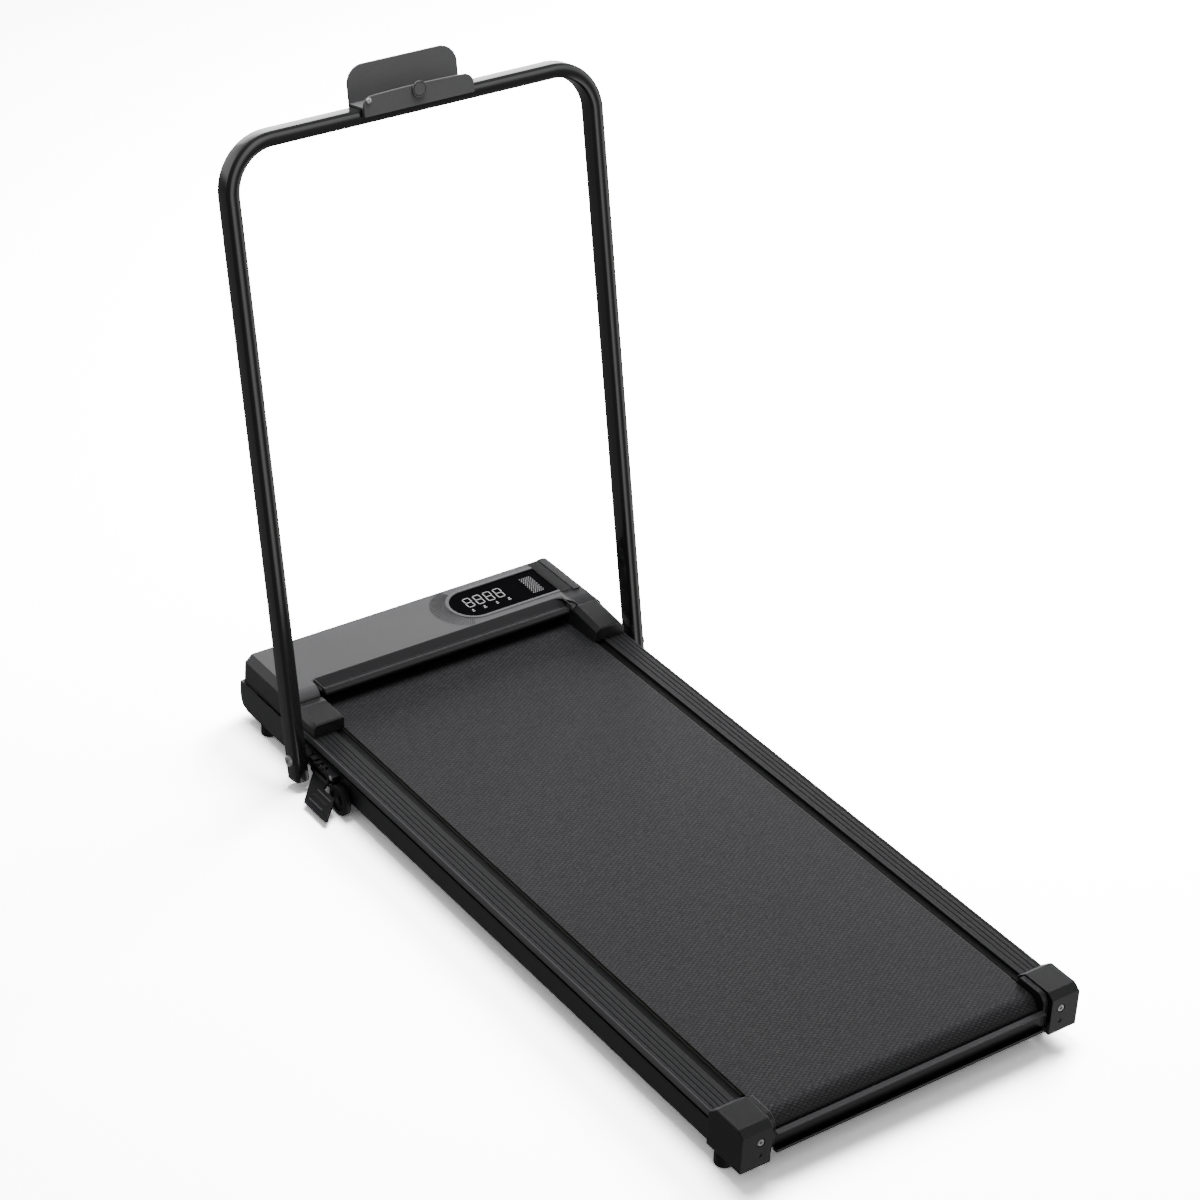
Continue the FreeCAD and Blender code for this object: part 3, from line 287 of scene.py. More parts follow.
# The same ABS in black, polished by hands and feet: darker, with pale edges of wear and painted
# highlight.
arm_plastic = grained("arm_plastic", "#161617", "#1b1b1c", 0.34, 0.9, 0.04, edge=1.0, sheen=0.5)
cap_plastic = grained("cap_plastic", "#171718", "#1c1c1d", 0.36, 0.8, 0.05, edge=0.5, sheen=0.25)
# Polypropylene is duller than ABS, so the tray and the phone rest look flat and even.
tray_plastic = grained("tray_plastic", "#363637", "#3c3c3d", 0.45, 1.0, 0.06)
holder_plastic = grained("holder_plastic", "#484849", "#505051", 0.40, 0.8, 0.04)
inner_plastic = grained("inner_plastic", "#0c0c0d", "#121213", 0.5, 1.0, 0.05)
# Powder coat on steel has a faint orange peel. The handlebar's coat is glossier than the
# frame's, so long bright lines run down the tube.
frame_coat = grained("frame_powder_coat", "#131314", "#19191a", 0.38, 1.4, 0.08)
bar_coat = grained("handlebar_powder_coat", "#151516", "#191a1a", 0.16, 1.4, 0.012, edge=0.6,
                   sheen=0.5)
# Rubber scatters nearly all it gets, so it shows no clear highlight.
# The same near-black finish also serves as painted shade in the slits beside the deck.
foot_rubber = grained("foot_rubber", "#0b0b0b", "#111111", 0.7, 1.5, 0.10)
wheel_rubber = grained("wheel_rubber", "#070707", "#0b0b0b", 0.6, 1.2, 0.08)
# The ring round the window is satin plastic, which catches a thin line of light.
bezel_plastic = grained("bezel_satin", "#3c3c3e", "#48484a", 0.28, 0.6, 0.02)
# Blacked steel is dark with a tight sheen, as on the screws in the end caps.
# The same finish is painted shade inside the handlebar's lower holes.
blacked_steel_and_hole_shade = grained("blacked_steel_hole_shade", "#0a0a0b", "#121213", 0.35, 0.5, 0.02)
print("moulded materials", [m.name for m in bpy.data.materials if m.use_nodes])

# %% [markdown]
# ## The ribbed rails
# Each foot rail is one extrusion of dark plastic. Its tread has fine drawn lines along its
# length. Its outer rim is painted pale as a painted highlight, and the low ledge beside the belt
# is painted black as painted shadow from the gap there. Three separate pieces could carry these
# tones, but it is one moulding, so the tone is chosen by the distance from the centre plane.

# %% The finish of the foot rails
def rail_finish(name, tread_in=0.2212, rim_from=0.2561):
    """Three tones by |x|: black painted shadow below tread_in, the tread, and a pale painted
    highlight on the rim from rim_from.
    """
    material, tree, shader = new_material(name)
    place = add(tree, "ShaderNodeTexCoord").outputs["Object"]
    split = add(tree, "ShaderNodeSeparateXYZ", {0: place})
    outward = math_node(tree, "ABSOLUTE", split.outputs[0])
    tread = math_node(tree, "GREATER_THAN", outward, tread_in)
    drawn = add(tree, "ShaderNodeMapping", {"Vector": place, "Scale": (1.0, 0.02, 1.0)}).outputs[0]
    lines = noise(tree, drawn, 420.0, 3.0)
    fine = noise(tree, place, 1100.0, 3.0)
    tone = mixed(tree, lines, linear("#151516"), linear("#1c1c1d"))
    # Painted shadow: the ledge beside the belt, inside tread_in, is painted black.
    colour = mixed(tree, tread, linear("#060606"), tone)
    # Painted highlight: the outer rim is painted pale.
    rim_highlight = math_node(tree, "GREATER_THAN", outward, rim_from)
    colour = mixed(tree, rim_highlight, colour, linear("#58585a"))
    tree.links.new(colour, shader.inputs["Base Color"])
    tree.links.new(ranged(tree, fine, 0.36, 0.5), shader.inputs["Roughness"])
    shader.inputs["Specular IOR Level"].default_value = 0.18
    soft = add(tree, "ShaderNodeBevel", {"Radius": 0.6 * MM}, samples=4)
    bump = add(tree, "ShaderNodeBump", {"Height": fine, "Distance": 0.04 * MM, "Strength": 0.6,
                                        "Normal": soft.outputs[0]})
    tree.links.new(bump.outputs[0], shader.inputs["Normal"])
    return material


# %% [markdown]
# ## The guard behind the rear roller
# A steel channel closes the gap under the rear roller. Its lips catch the light and its inside is
# in deep shadow, which is painted black as painted shadow. One finish with two tones by height is
# enough.

# %% The finish of the rear guard
def guard_finish(name, low_lip=0.0345, high_lip=0.0575):
    """Channel: satin dark grey on its lips, where z < low_lip or z > high_lip, black painted shadow
    inside.
    """
    material, tree, shader = new_material(name)
    place = add(tree, "ShaderNodeTexCoord").outputs["Object"]
    height = add(tree, "ShaderNodeSeparateXYZ", {0: place}).outputs[2]
    fine = noise(tree, place, 900.0, 3.0)
    lip = math_node(tree, "MAXIMUM", math_node(tree, "LESS_THAN", height, low_lip),
                    math_node(tree, "GREATER_THAN", height, high_lip))
    tone = mixed(tree, fine, linear("#1f1f20"), linear("#2b2b2c"))
    # Painted shadow: black between the lips.
    tree.links.new(mixed(tree, lip, linear("#040404"), tone), shader.inputs["Base Color"])
    tree.links.new(ranged(tree, fine, 0.3, 0.42), shader.inputs["Roughness"])
    shader.inputs["Specular IOR Level"].default_value = 0.2
    return material


rail_plastic = rail_finish("rail_extrusion")
guard_coat = guard_finish("guard_coat")

# %% [markdown]
# ## Metals, wood, glossy window and circuit board
# Bolts, rollers and the motor are bare metal, with fine lines from turning or drawing. The window
# is polished acrylic over a dark print, and the deck is pressed board with a sealed black face.
# Lines could be modelled, but they are far below a millimetre, so stretched noise in the colour,
# the roughness and a slight bump is enough.

# %% Metal, window and board finishes
def metal(name, dark, pale, rough, streak=(1.0, 1.0, 30.0), metallic=1.0):
    """Bright metal with fine turning lines: noise stretched along one direction."""
    material, tree, shader = new_material(name)
    place = add(tree, "ShaderNodeTexCoord").outputs["Object"]
    place = add(tree, "ShaderNodeMapping", {"Vector": place, "Scale": streak}).outputs[0]
    lines = noise(tree, place, 220.0, 4.0)
    tree.links.new(mixed(tree, lines, linear(dark), linear(pale)), shader.inputs["Base Color"])
    tree.links.new(ranged(tree, lines, rough - 0.08, rough + 0.1), shader.inputs["Roughness"])
    shader.inputs["Metallic"].default_value = metallic
    bump = add(tree, "ShaderNodeBump", {"Height": lines, "Distance": 0.03 * MM, "Strength": 0.4})
    tree.links.new(bump.outputs[0], shader.inputs["Normal"])
    return material


def glossy_window(name):
    """Near-black polished plastic with a trace of dust in its roughness."""
    material, tree, shader = new_material(name)
    place = add(tree, "ShaderNodeTexCoord").outputs["Object"]
    dust = noise(tree, place, 900.0, 2.0)
    colour = mixed(tree, dust, linear("#020203"), linear("#050506"))
    tree.links.new(colour, shader.inputs["Base Color"])
    tree.links.new(ranged(tree, dust, 0.10, 0.20), shader.inputs["Roughness"])
    shader.inputs["Specular IOR Level"].default_value = 0.02
    return material


def board_wood(name):
    """Pressed board with a black sealed face: fine fibres under the seal."""
    material, tree, shader = new_material(name)
    place = add(tree, "ShaderNodeTexCoord").outputs["Object"]
    fibre = add(tree, "ShaderNodeMapping", {"Vector": place, "Scale": (1.0, 0.12, 1.0)}).outputs[0]
    grain = noise(tree, fibre, 500.0, 6.0)
    colour = mixed(tree, grain, linear("#0d0c0b"), linear("#161412"))
    tree.links.new(colour, shader.inputs["Base Color"])
    shader.inputs["Roughness"].default_value = 0.7
    return material


# %% [markdown]
# ## The bare materials
# The same functions now make each real material, from its own colour and its own direction of
# lines.

# %% Steel, alloy, window and boards
# Zinc plate is bright but hazy. Turned steel keeps the fine rings of the tool. Drawn alloy has
# lines along its length. The window is polished acrylic, which mirrors sharply but weakly.
bright_steel = metal("bright_zinc_steel", "#9c9c9e", "#c8c8ca", 0.26, metallic=0.35)
turned_steel = metal("turned_steel", "#8f8f92", "#b5b5b8", 0.32, streak=(30.0, 1.0, 1.0))
heatsink_alloy = metal("heatsink_alloy", "#9c9ea0", "#b9bbbd", 0.38, streak=(1.0, 20.0, 1.0))
window_gloss = glossy_window("window_gloss")
deck_wood = board_wood("deck_board_wood")
board_green = grained("circuit_board", "#0d3a1d", "#125027", 0.45, 1.0, 0.03)

# %% [markdown]
# ## The running belt's surface
# The top layer of the belt is PVC pressed with staggered rows of short dashes. Modelling every
# dash would take millions of faces, so the shader draws them in the belt's own flat coordinates,
# and the pattern follows the belt round the rollers. The dashes are painted paler as a painted
# highlight of the light they catch, and together they make the belt look grey rather than black.

# %% The belt's woven face
def woven_belt(name, row_mm=3.0, dash_mm=8.5, lean=0.16):
    """Rows of raised dashes: height = |sin(pi (v + lean u) / row)| |sin(pi (u / dash + shift))|.

    u and v are metres of flat belt, across and along. shift is half a dash more in each row. The
    real rows are about 1 mm apart; they are drawn coarser, row_mm apart, so that they show.
    """
    material, tree, shader = new_material(name)
    flat = add(tree, "ShaderNodeUVMap", uv_map="flat").outputs[0]
    split = add(tree, "ShaderNodeSeparateXYZ", {0: flat})
    across, along = split.outputs[0], split.outputs[1]
    place = add(tree, "ShaderNodeTexCoord").outputs["Object"]
    drift = noise(tree, place, 60.0, 2.0)
    row = math_node(tree, "ADD", along, math_node(tree, "MULTIPLY", across, lean))
    row = math_node(tree, "ADD", row, ranged(tree, drift, 0.0, 2 * MM))
    row = math_node(tree, "DIVIDE", row, row_mm * MM)
    shift = math_node(tree, "MULTIPLY", math_node(tree, "FLOOR", row), 0.5)
    dash = math_node(tree, "ADD", math_node(tree, "DIVIDE", across, dash_mm * MM), shift)
    waves = []
    for phase in (row, dash):
        sine = math_node(tree, "SINE", math_node(tree, "MULTIPLY", phase, math.pi))
        waves.append(math_node(tree, "ABSOLUTE", sine))
    weave = math_node(tree, "POWER", math_node(tree, "MULTIPLY", *waves), 0.8)
    slow = noise(tree, place, 5.0, 5.0)
    fine = noise(tree, place, 420.0, 3.0)
    # Painted highlight: the raised dashes are painted paler, varied by a fine random speckle.
    speckled_dash_highlight = math_node(tree, "MULTIPLY", weave, ranged(tree, fine, -0.6, 2.2))
    base = mixed(tree, speckled_dash_highlight, linear("#0e0e0f"), linear("#303031"))
    colour = mixed(tree, ranged(tree, slow, 0.0, 0.4), base, linear("#18181a"))
    tree.links.new(colour, shader.inputs["Base Color"])
    tree.links.new(ranged(tree, fine, 0.42, 0.6), shader.inputs["Roughness"])
    shader.inputs["Specular IOR Level"].default_value = 0.12
    height = math_node(tree, "ADD", weave, math_node(tree, "MULTIPLY", fine, 0.3))
    bump = add(tree, "ShaderNodeBump", {"Height": height, "Distance": 0.18 * MM, "Strength": 0.5})
    tree.links.new(bump.outputs[0], shader.inputs["Normal"])
    return material


belt_weave = woven_belt("belt_weave")

# %% [markdown]
# ## A material for every CAD node that shows
# Every CAD piece gets the finish of what it is made of. Materials could be set piece by piece,
# but one table from finish to pieces shows at a glance that none is left out.

# %% Finishes on the CAD pieces
finishes = [
    (frame_coat, ["side_beam_left", "side_beam_right", "rear_cross_tube", "middle_cross_tube",
                  "front_cross_tube", "pivot_bracket_left", "pivot_bracket_right",
                  "motor_bracket", "wheel_axles"]),
    (guard_coat, ["rear_guard"]),
    (bar_coat, ["handlebar_tube"]),
    (hood_plastic, ["motor_hood"]),
    (arm_plastic, ["rail_block_left", "rail_block_right"]),
    (rail_plastic, ["rail_cover_left", "rail_cover_right"]),
    (cap_plastic, ["end_cap_left", "end_cap_right", "pedal_bracket", "foot_pedal"]),
    (tray_plastic, ["base_tray"]),
    (holder_plastic, ["holder_tray", "holder_lip", "holder_knob"]),
    (inner_plastic, ["handlebar_plugs", "pivot_bushes", "controller_box", "power_inlet",
                     "switch_housing", "rocker_switch", "motor_fan", "drive_belt"]),
    (foot_rubber, ["rubber_feet", "deck_cushions"]),
    (wheel_rubber, ["transport_wheel_left", "transport_wheel_right"]),
    (deck_wood, ["deck_board"]),
    (bright_steel, ["tension_bolts", "pivot_bolts", "holder_screw", "pedal_screw", "pedal_pin",
                    "pedal_spring"]),
    (blacked_steel_and_hole_shade, ["end_cap_screws"]),
    (turned_steel, ["rear_roller_tube", "rear_roller_bearings", "rear_roller_axle",
                    "front_roller_tube", "front_roller_bearings", "front_roller_axle",
                    "front_roller_pulley", "motor_pulley", "motor_shaft", "motor_body"]),
    (heatsink_alloy, ["controller_heatsink"]),
    (window_gloss, ["display_window"]),
    (bezel_plastic, ["display_bezel"]),
    (board_green, ["display_board"]),
    (belt_weave, ["running_belt"]),
]
for material, names in finishes:
    for name in names:
        data = nodes[name].data
        data.materials.clear()
        data.materials.append(material)
unpainted = [name for name in nodes if not nodes[name].data.materials]
print("nodes painted", sum(len(names) for _, names in finishes), "left over", unpainted)

# %% [markdown]
# ## The belt
# The belt is an endless loop, along the top, half way round the front roller, back below and
# round the rear roller. The CAD belt has the same shape but no flat coordinates for the pattern,
# so the loop is made again as one section carried round the rollers, with metres across and along
# as its flat coordinates.

# %% The belt loop
FACE_POINTS = 24


def stadium(radius, flat_steps=60, round_steps=28):
    """Loop of (y, z) at one radius: y runs between the axes, and half circles close the ends."""
    y0, y1, z = rear_axis[1], front_axis[1], rear_axis[2]
    top = np.linspace(y0, y1, flat_steps, endpoint=False)
    half = np.linspace(0, np.pi, round_steps, endpoint=False)
    return np.concatenate([
        np.stack([top, np.full(flat_steps, z + radius)], axis=1),
        np.stack([y1 + radius * np.sin(half), z + radius * np.cos(half)], axis=1),
        np.stack([top[::-1] + (y1 - y0) / flat_steps, np.full(flat_steps, z - radius)], axis=1),
        np.stack([y0 - radius * np.sin(half), z - radius * np.cos(half)], axis=1)])


# %% [markdown]
# ## The belt as one closed surface
# A belt has a thickness and rounded edges, which show along the rails. A flat ribbon would have
# neither, so the section has an outer face, an inner face and two small chamfers, and the seam is
# merged.

# %% Make and place the belt
def make_belt(thick=1.6 * MM):
    """Outer and inner faces with rounded edges, as one closed section carried round the loop."""
    half = belt_high[0]
    edge = np.array([(-half, 0.35), (-half + 0.3 * MM, 0.0)])
    face = np.linspace(-half + 1 * MM, half - 1 * MM, FACE_POINTS)
    across = np.concatenate([edge[:, 0], face, -edge[::-1, 0]])
    depth = np.concatenate([edge[:, 1], np.zeros(FACE_POINTS), edge[::-1, 1]]) * thick
    section_x = np.concatenate([across, across[::-1]])
    section_d = np.concatenate([depth, np.full(len(across), thick)])
    centre_loop = stadium(belt_radius)
    inner_loop = stadium(belt_radius - thick)
    closed = np.concatenate([centre_loop, centre_loop[:1]])
    inner_closed = np.concatenate([inner_loop, inner_loop[:1]])
    steps = np.linalg.norm(np.diff(closed, axis=0), axis=1)
    along = np.concatenate([[0.0], np.cumsum(steps)])
    share = (section_d / thick)[None, :, None]
    path = closed[:, None, :] * (1 - share) + inner_closed[:, None, :] * share
    points = np.empty((len(closed), len(section_x), 3))
    points[..., 0] = section_x[None, :]
    points[..., 1:] = path
    uv = np.empty((len(closed), len(section_x), 2))
    uv[..., 0] = section_x[None, :]
    uv[..., 1] = along[:, None]
    return closed_up(grid_mesh("belt_loop", points, close_j=True, uv=uv))


belt = make_belt()
belt.data.materials.append(belt_weave)
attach(belt, "base")
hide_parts("running_belt")
print("belt faces", len(belt.data.polygons))

# %% [markdown]
# ## The handlebar tube
# The handlebar is a bent steel tube. Its broad faces are slightly rounded, and that draws the
# long highlights down it, which flat CAD faces can't do. Shading alone would not change the
# outline, so the tube is swept again: a rounded rectangle whose front and rear faces bulge, along
# a U.

# %% The section and the centre line
PIVOT = np.array([0.0, 0.3838, 0.043])
LEAN = math.radians(11.64)
TUBE_W, TUBE_D = 20 * MM, 30 * MM      # section, across the walker and along the walk
BAR_X = 279.3 * MM                     # centre of each upright
BAR_LOW, BAR_HIGH = -31 * MM, 846.2 * MM   # foot and crossbar, from the pivot along the tube
BAR_BEND = 65 * MM                     # radius of the two upper bends


def tube_section(half_w, half_d, corner, bulge, steps=7):
    """Closed (a, b): rounded rectangle with b moved out by bulge (1 - (a / half_w)^2)."""
    t = np.linspace(0, np.pi / 2, steps)
    corners = []
    for quarter, (sx, sy) in enumerate([(1, 1), (-1, 1), (-1, -1), (1, -1)]):
        angle = t + quarter * np.pi / 2
        corners.append(np.column_stack([sx * (half_w - corner) + corner * np.cos(angle),
                                        sy * (half_d - bulge - corner) + corner * np.sin(angle)]))
    loop = np.concatenate(corners)
    across = np.linspace(-1, 1, 9)[1:-1] * (half_w - corner)
    top = np.column_stack([across[::-1], np.full(7, half_d - bulge)])
    low = np.column_stack([across, np.full(7, bulge - half_d)])
    loop = np.concatenate([loop[:steps], top, loop[steps:3 * steps], low, loop[3 * steps:]])
    inside = np.clip(1 - (loop[:, 0] / half_w) ** 2, 0, 1)
    loop[:, 1] += np.sign(loop[:, 1]) * bulge * inside
    return loop


def bar_line(half_span, low, high, bend, step=0.012):
    """Centre line of the U as points (x, z) with their in-plane normals."""
    rise = np.linspace(low, high - bend, int((high - bend - low) / step))
    turn = np.linspace(0, np.pi / 2, 25)[1:-1]
    cross = np.linspace(bend - half_span, half_span - bend, 40)
    left = np.column_stack([np.full(len(rise), -half_span), rise])
    corner = np.column_stack([bend - half_span - bend * np.cos(turn),
                              high - bend + bend * np.sin(turn)])
    middle = np.column_stack([cross, np.full(40, high)])
    line = np.concatenate([left, corner, middle, corner[::-1] * [-1, 1], left[::-1] * [-1, 1]])
    ahead = np.gradient(line, axis=0)
    ahead /= np.linalg.norm(ahead, axis=1)[:, None]
    return line, np.column_stack([ahead[:, 1], -ahead[:, 0]])


# %% [markdown]
# ## The swept handlebar
# The tube leans forward about the pivot. It is built upright, where the formulas are short, and
# then turned. Each foot closes with a small rounded nose, which stands for the plastic plug.

# %% Sweep and place the handlebar
def leaned_points(points):
    """Turn upright coordinates (x, depth, height over the pivot) forward by LEAN about it."""
    x, depth, height = points[..., 0], points[..., 1], points[..., 2]
    y = depth * math.cos(LEAN) + height * math.sin(LEAN)
    z = height * math.cos(LEAN) - depth * math.sin(LEAN)
    return np.stack([x + PIVOT[0], y + PIVOT[1], z + PIVOT[2]], axis=-1)


def make_handlebar():
    """Tube from one upright's foot to the other's; each foot closes with a small rounded nose."""
    section = tube_section(TUBE_W / 2, TUBE_D / 2, 3.2 * MM, 2.0 * MM)
    low, nose = BAR_LOW, 5 * MM
    line, normal = bar_line(BAR_X, low + nose, BAR_HIGH, BAR_BEND)
    shrink = np.ones(len(line))
    t = np.array([0.0, 0.3, 0.6, 0.85, 1.0])
    foot = np.column_stack([np.full(5, line[0, 0]), low + nose * (1 - np.sqrt(1 - t ** 2))])
    foot_size = 0.55 + 0.45 * np.sqrt(1 - (1 - t) ** 2)
    foot_size[0] = 0.0
    line = np.concatenate([foot[:-1], line, foot[:-1][::-1] * [-1, 1]])
    normal = np.concatenate([normal[:1].repeat(4, 0), normal, normal[-1:].repeat(4, 0)])
    shrink = np.concatenate([foot_size[:-1], shrink, foot_size[:-1][::-1]])
    a = section[None, :, 0] * shrink[:, None]
    b = section[None, :, 1] * shrink[:, None]
    points = np.empty((len(line), len(section), 3))
    points[..., 0] = line[:, None, 0] + a * normal[:, None, 0]
    points[..., 1] = b
    points[..., 2] = line[:, None, 1] + a * normal[:, None, 1]
    return closed_up(grid_mesh("handlebar_sweep", leaned_points(points), close_j=True))


handlebar = make_handlebar()
handlebar.data.materials.append(bar_coat)
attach(handlebar, "handlebar")
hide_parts("handlebar_tube", "handlebar_plugs")
print("handlebar faces", len(handlebar.data.polygons))

# %% [markdown]
# ## The display
# Behind the window, light shows through four digits, a row of plain marks and a patch of dots.
# They could be an image, but thin plates stay sharp at any distance. Each is a flat outline just
# above the window, in a pale print that glows faintly.

# %% The display print
def printed(name, dark, pale, glow):
    """Pale print that also glows faintly, with a fine speckle."""
    material, tree, shader = new_material(name)
    place = add(tree, "ShaderNodeTexCoord").outputs["Object"]
    speckled_dash_highlight = noise(tree, place, 1500.0)
    colour = mixed(tree, speckled_dash_highlight, linear(dark), linear(pale))
    tree.links.new(colour, shader.inputs["Base Color"])
    tree.links.new(colour, shader.inputs["Emission Color"])
    shader.inputs["Emission Strength"].default_value = glow
    shader.inputs["Roughness"].default_value = 0.4
    return material


display_print = printed("display_print", "#5e5e5e", "#868686", 0.12)
print_level = window_high[2] + 0.12 * MM
PRINT_THICK = 0.1 * MM


def plate(name, outline, level, thick):
    """Flat closed shape: outline (x, y) at one level, with its sides going down by thick."""
    outline = np.array(outline, dtype=float)
    count = len(outline)
    top = np.column_stack([outline, np.full(count, level)])
    low = np.column_stack([outline, np.full(count, level - thick)])
    sides = [[i, (i + 1) % count, count + (i + 1) % count, count + i] for i in range(count)]
    mesh = bpy.data.meshes.new(name)
    lid = list(range(count, 2 * count))
    mesh.from_pydata(np.concatenate([low, top]).tolist(), [], sides + [lid])
    mesh.update()
    obj = bpy.data.objects.new(name, mesh)
    bpy.context.scene.collection.objects.link(obj)
    return obj


# %% [markdown]
# ## The digits
# Each digit is seven six-cornered bars, all lit and leaning slightly to the right. They name no
# number and stand for a display at its self-test.

# %% Digits of seven segments
def segment(centre, length, width, upright):
    """Six-cornered bar of one digit, pointed at both ends."""
    a, b = length / 2, width / 2
    points = np.array([(-a, 0), (-a + b, b), (a - b, b), (a, 0), (a - b, -b), (-a + b, -b)])
    if upright:
        points = points[:, ::-1] * [1, -1]
    return points + np.array(centre)


def make_digits():
    """Four digits, all segments lit, leaning slightly to the right."""
    parts = []
    width, height, bar = 10.5 * MM, 22.0 * MM, 1.6 * MM
    middle_y = window_low[1] + 39.5 * MM
    for k in range(4):
        x = window_low[0] + (31.0 + 17.0 * k) * MM
        centres = [((0, height / 2), False), ((0, 0), False), ((0, -height / 2), False),
                   ((-width / 2, height / 4), True), ((width / 2, height / 4), True),
                   ((-width / 2, -height / 4), True), ((width / 2, -height / 4), True)]
        for n, (centre, upright) in enumerate(centres):
            length = (height / 2 if upright else width) - 1.0 * MM
            shape = segment(centre, length, bar, upright)
            shape = shape + [0.10 * centre[1], 0]
            shape = shape + [x, middle_y]
            parts.append(plate(f"segment_{k}_{n}", shape, print_level, PRINT_THICK))
    return join_meshes("display_digits", parts)


# %% [markdown]
# ## Marks and dots
# The row of marks and the slanted patch of dots are plain shapes, with no lettering.

# %% Marks and dots
def disc(centre, radius, count=20):
    """Points of a circle."""
    a = np.linspace(0, 2 * np.pi, count, endpoint=False)
    return np.column_stack([np.cos(a), np.sin(a)]) * radius + np.array(centre)


def make_marks():
    """Row of four plain marks below the digits, each a small disc over a short bar."""
    parts = []
    y = window_low[1] + 18.0 * MM
    for k, across in enumerate((25.5, 45.0, 66.0, 86.5)):
        x = window_low[0] + across * MM
        spot = disc((x + 0.5 * MM, y + 2.4 * MM), 1.6 * MM)
        parts.append(plate(f"mark_{k}", spot, print_level, PRINT_THICK))
        bar = segment((x, y - 1.2 * MM), (4.5 + k % 2) * MM, 1.8 * MM, False)
        parts.append(plate(f"mark_bar_{k}", bar, print_level, PRINT_THICK))
    return join_meshes("display_marks", parts)


def make_dots():
    """Slanted patch of small dots in staggered rows."""
    parts = []
    x0 = window_high[0] - 33.5 * MM
    y0 = window_low[1] + 14.0 * MM
    for row in range(15):
        for column in range(6):
            x = x0 + (3.2 * column + 1.6 * (row % 2) + 0.12 * row) * MM
            y = y0 + 2.8 * row * MM
            spot = disc((x, y), 0.8 * MM, 8)
            parts.append(plate(f"dot_{row}_{column}", spot, print_level, PRINT_THICK))
    return join_meshes("display_dots", parts)


for piece in (make_digits(), make_marks(), make_dots()):
    piece.data.materials.append(display_print)
    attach(piece, "base")
    print(piece.name, len(piece.data.polygons), "faces")

# %% [markdown]
# ## Dark strips beside the deck
# A thin strip in the black rubber finish closes the slit between the deck board and each rail's
# ledge. It is painted shade: without it the floor shows through as white specks where the slit
# is in shade. Each strip is a small closed section carried along the deck.

# %% The strips of painted shade
def make_shade_strips():
    """Two thin bars of painted shade, each a closed section (x, z) carried along y over the deck's
    length.
    """
    deck_low, deck_high = [np.array(corner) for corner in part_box("deck_board")]
    ledge_low, ledge_high = [np.array(corner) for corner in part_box("rail_cover_right")]
    x0, x1 = deck_high[0] - 0.4 * MM, ledge_low[0] + 0.4 * MM
    z1 = ledge_high[2] - 3.4 * MM
    y = np.linspace(max(deck_low[1], ledge_low[1]), min(deck_high[1], ledge_high[1]), 12)
    parts = []
    for side in (-1, 1):
        section = np.array([(x0, z1 - 1.0 * MM), (x1, z1 - 1.0 * MM), (x1, z1), (x0, z1)])
        points = np.empty((len(y), 4, 3))
        points[..., 0] = side * section[None, :, 0]
        points[..., 1] = y[:, None]
        points[..., 2] = section[None, :, 1]
        points = np.concatenate([points[:1].mean(axis=1, keepdims=True).repeat(4, 1), points,
                                 points[-1:].mean(axis=1, keepdims=True).repeat(4, 1)])
        parts.append(grid_mesh(f"slit_shade_strip_{side + 1}", points, close_j=True, smooth=False))
    return closed_up(join_meshes("deck_slit_shade_strips", parts))


slit_shade_strips = make_shade_strips()
# Painted shade: a near-black strip in each slit beside the deck.
slit_shade_strips.data.materials.append(foot_rubber)
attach(slit_shade_strips, "base")
print(slit_shade_strips.name, len(slit_shade_strips.data.polygons), "faces")

# %% [markdown]
# ## Trim round the display
# Left of the display's ring the hood has a crescent of short radial ribs, and right of the window
# a dark strip slopes up to the raised ridge. A bump could fake the ribs, but they are real relief
# that catches the light, so they are thin plates on rays from the ring's centre.

# %% The crescent and the strip
ring_centre = np.array([window_low[0] + 34.0 * MM, (window_low[1] + window_high[1]) / 2])


def make_crescent(first=118, last=240, count=38):
    """Ribs on rays from the ring's centre, from the inner radius out to a circle set off left."""
    parts = []
    offset, outer, inner = 15.0 * MM, 49.0 * MM, 39.5 * MM
    for n, angle in enumerate(np.radians(np.linspace(first, last, count))):
        ray = np.array([math.cos(angle), math.sin(angle)])
        side = np.array([-ray[1], ray[0]]) * 0.55 * MM
        reach = -offset * ray[0] + math.sqrt(outer ** 2 - (offset * ray[1]) ** 2)
        corners = [ring_centre + inner * ray - side, ring_centre + reach * ray - side,
                   ring_centre + reach * ray + side, ring_centre + inner * ray + side]
        parts.append(plate(f"rib_{n}", corners, hood_top + 0.35 * MM, 0.5 * MM))
    return join_meshes("display_crescent", parts)


def make_strip():
    """Ramp z = top + 2.0 mm * s^0.7, where s runs from the window's end to the hood's ridge."""
    s = np.linspace(0, 1, 9)
    x = window_high[0] + (0.2 + 16.6 * s) * MM
    y = np.linspace(window_low[1] - 8.0 * MM, window_high[1] + 11.0 * MM, 5)
    points = np.empty((len(y), len(x), 3))
    points[..., 0] = x[None, :]
    points[..., 1] = y[:, None]
    points[..., 2] = hood_top + (0.1 + 1.9 * s[None, :] ** 0.7) * MM
    return grid_mesh("display_strip", points)


for piece in (make_crescent(), make_strip()):
    piece.data.materials.append(inner_plastic)
    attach(piece, "base")
    print(piece.name, len(piece.data.polygons), "faces")

# %% [markdown]
# ## Small things on the handlebar's feet and the pedal
# Each upright has a second, dark hole below its pivot bolt, and shoes have worn the pedal's ribs
# pale. Cutting holes would change the CAD, so the hole is a shallow turned ring with a near-black
# inside, which is painted shade for the hole's depth, and the wear is a thin skin over each rib.

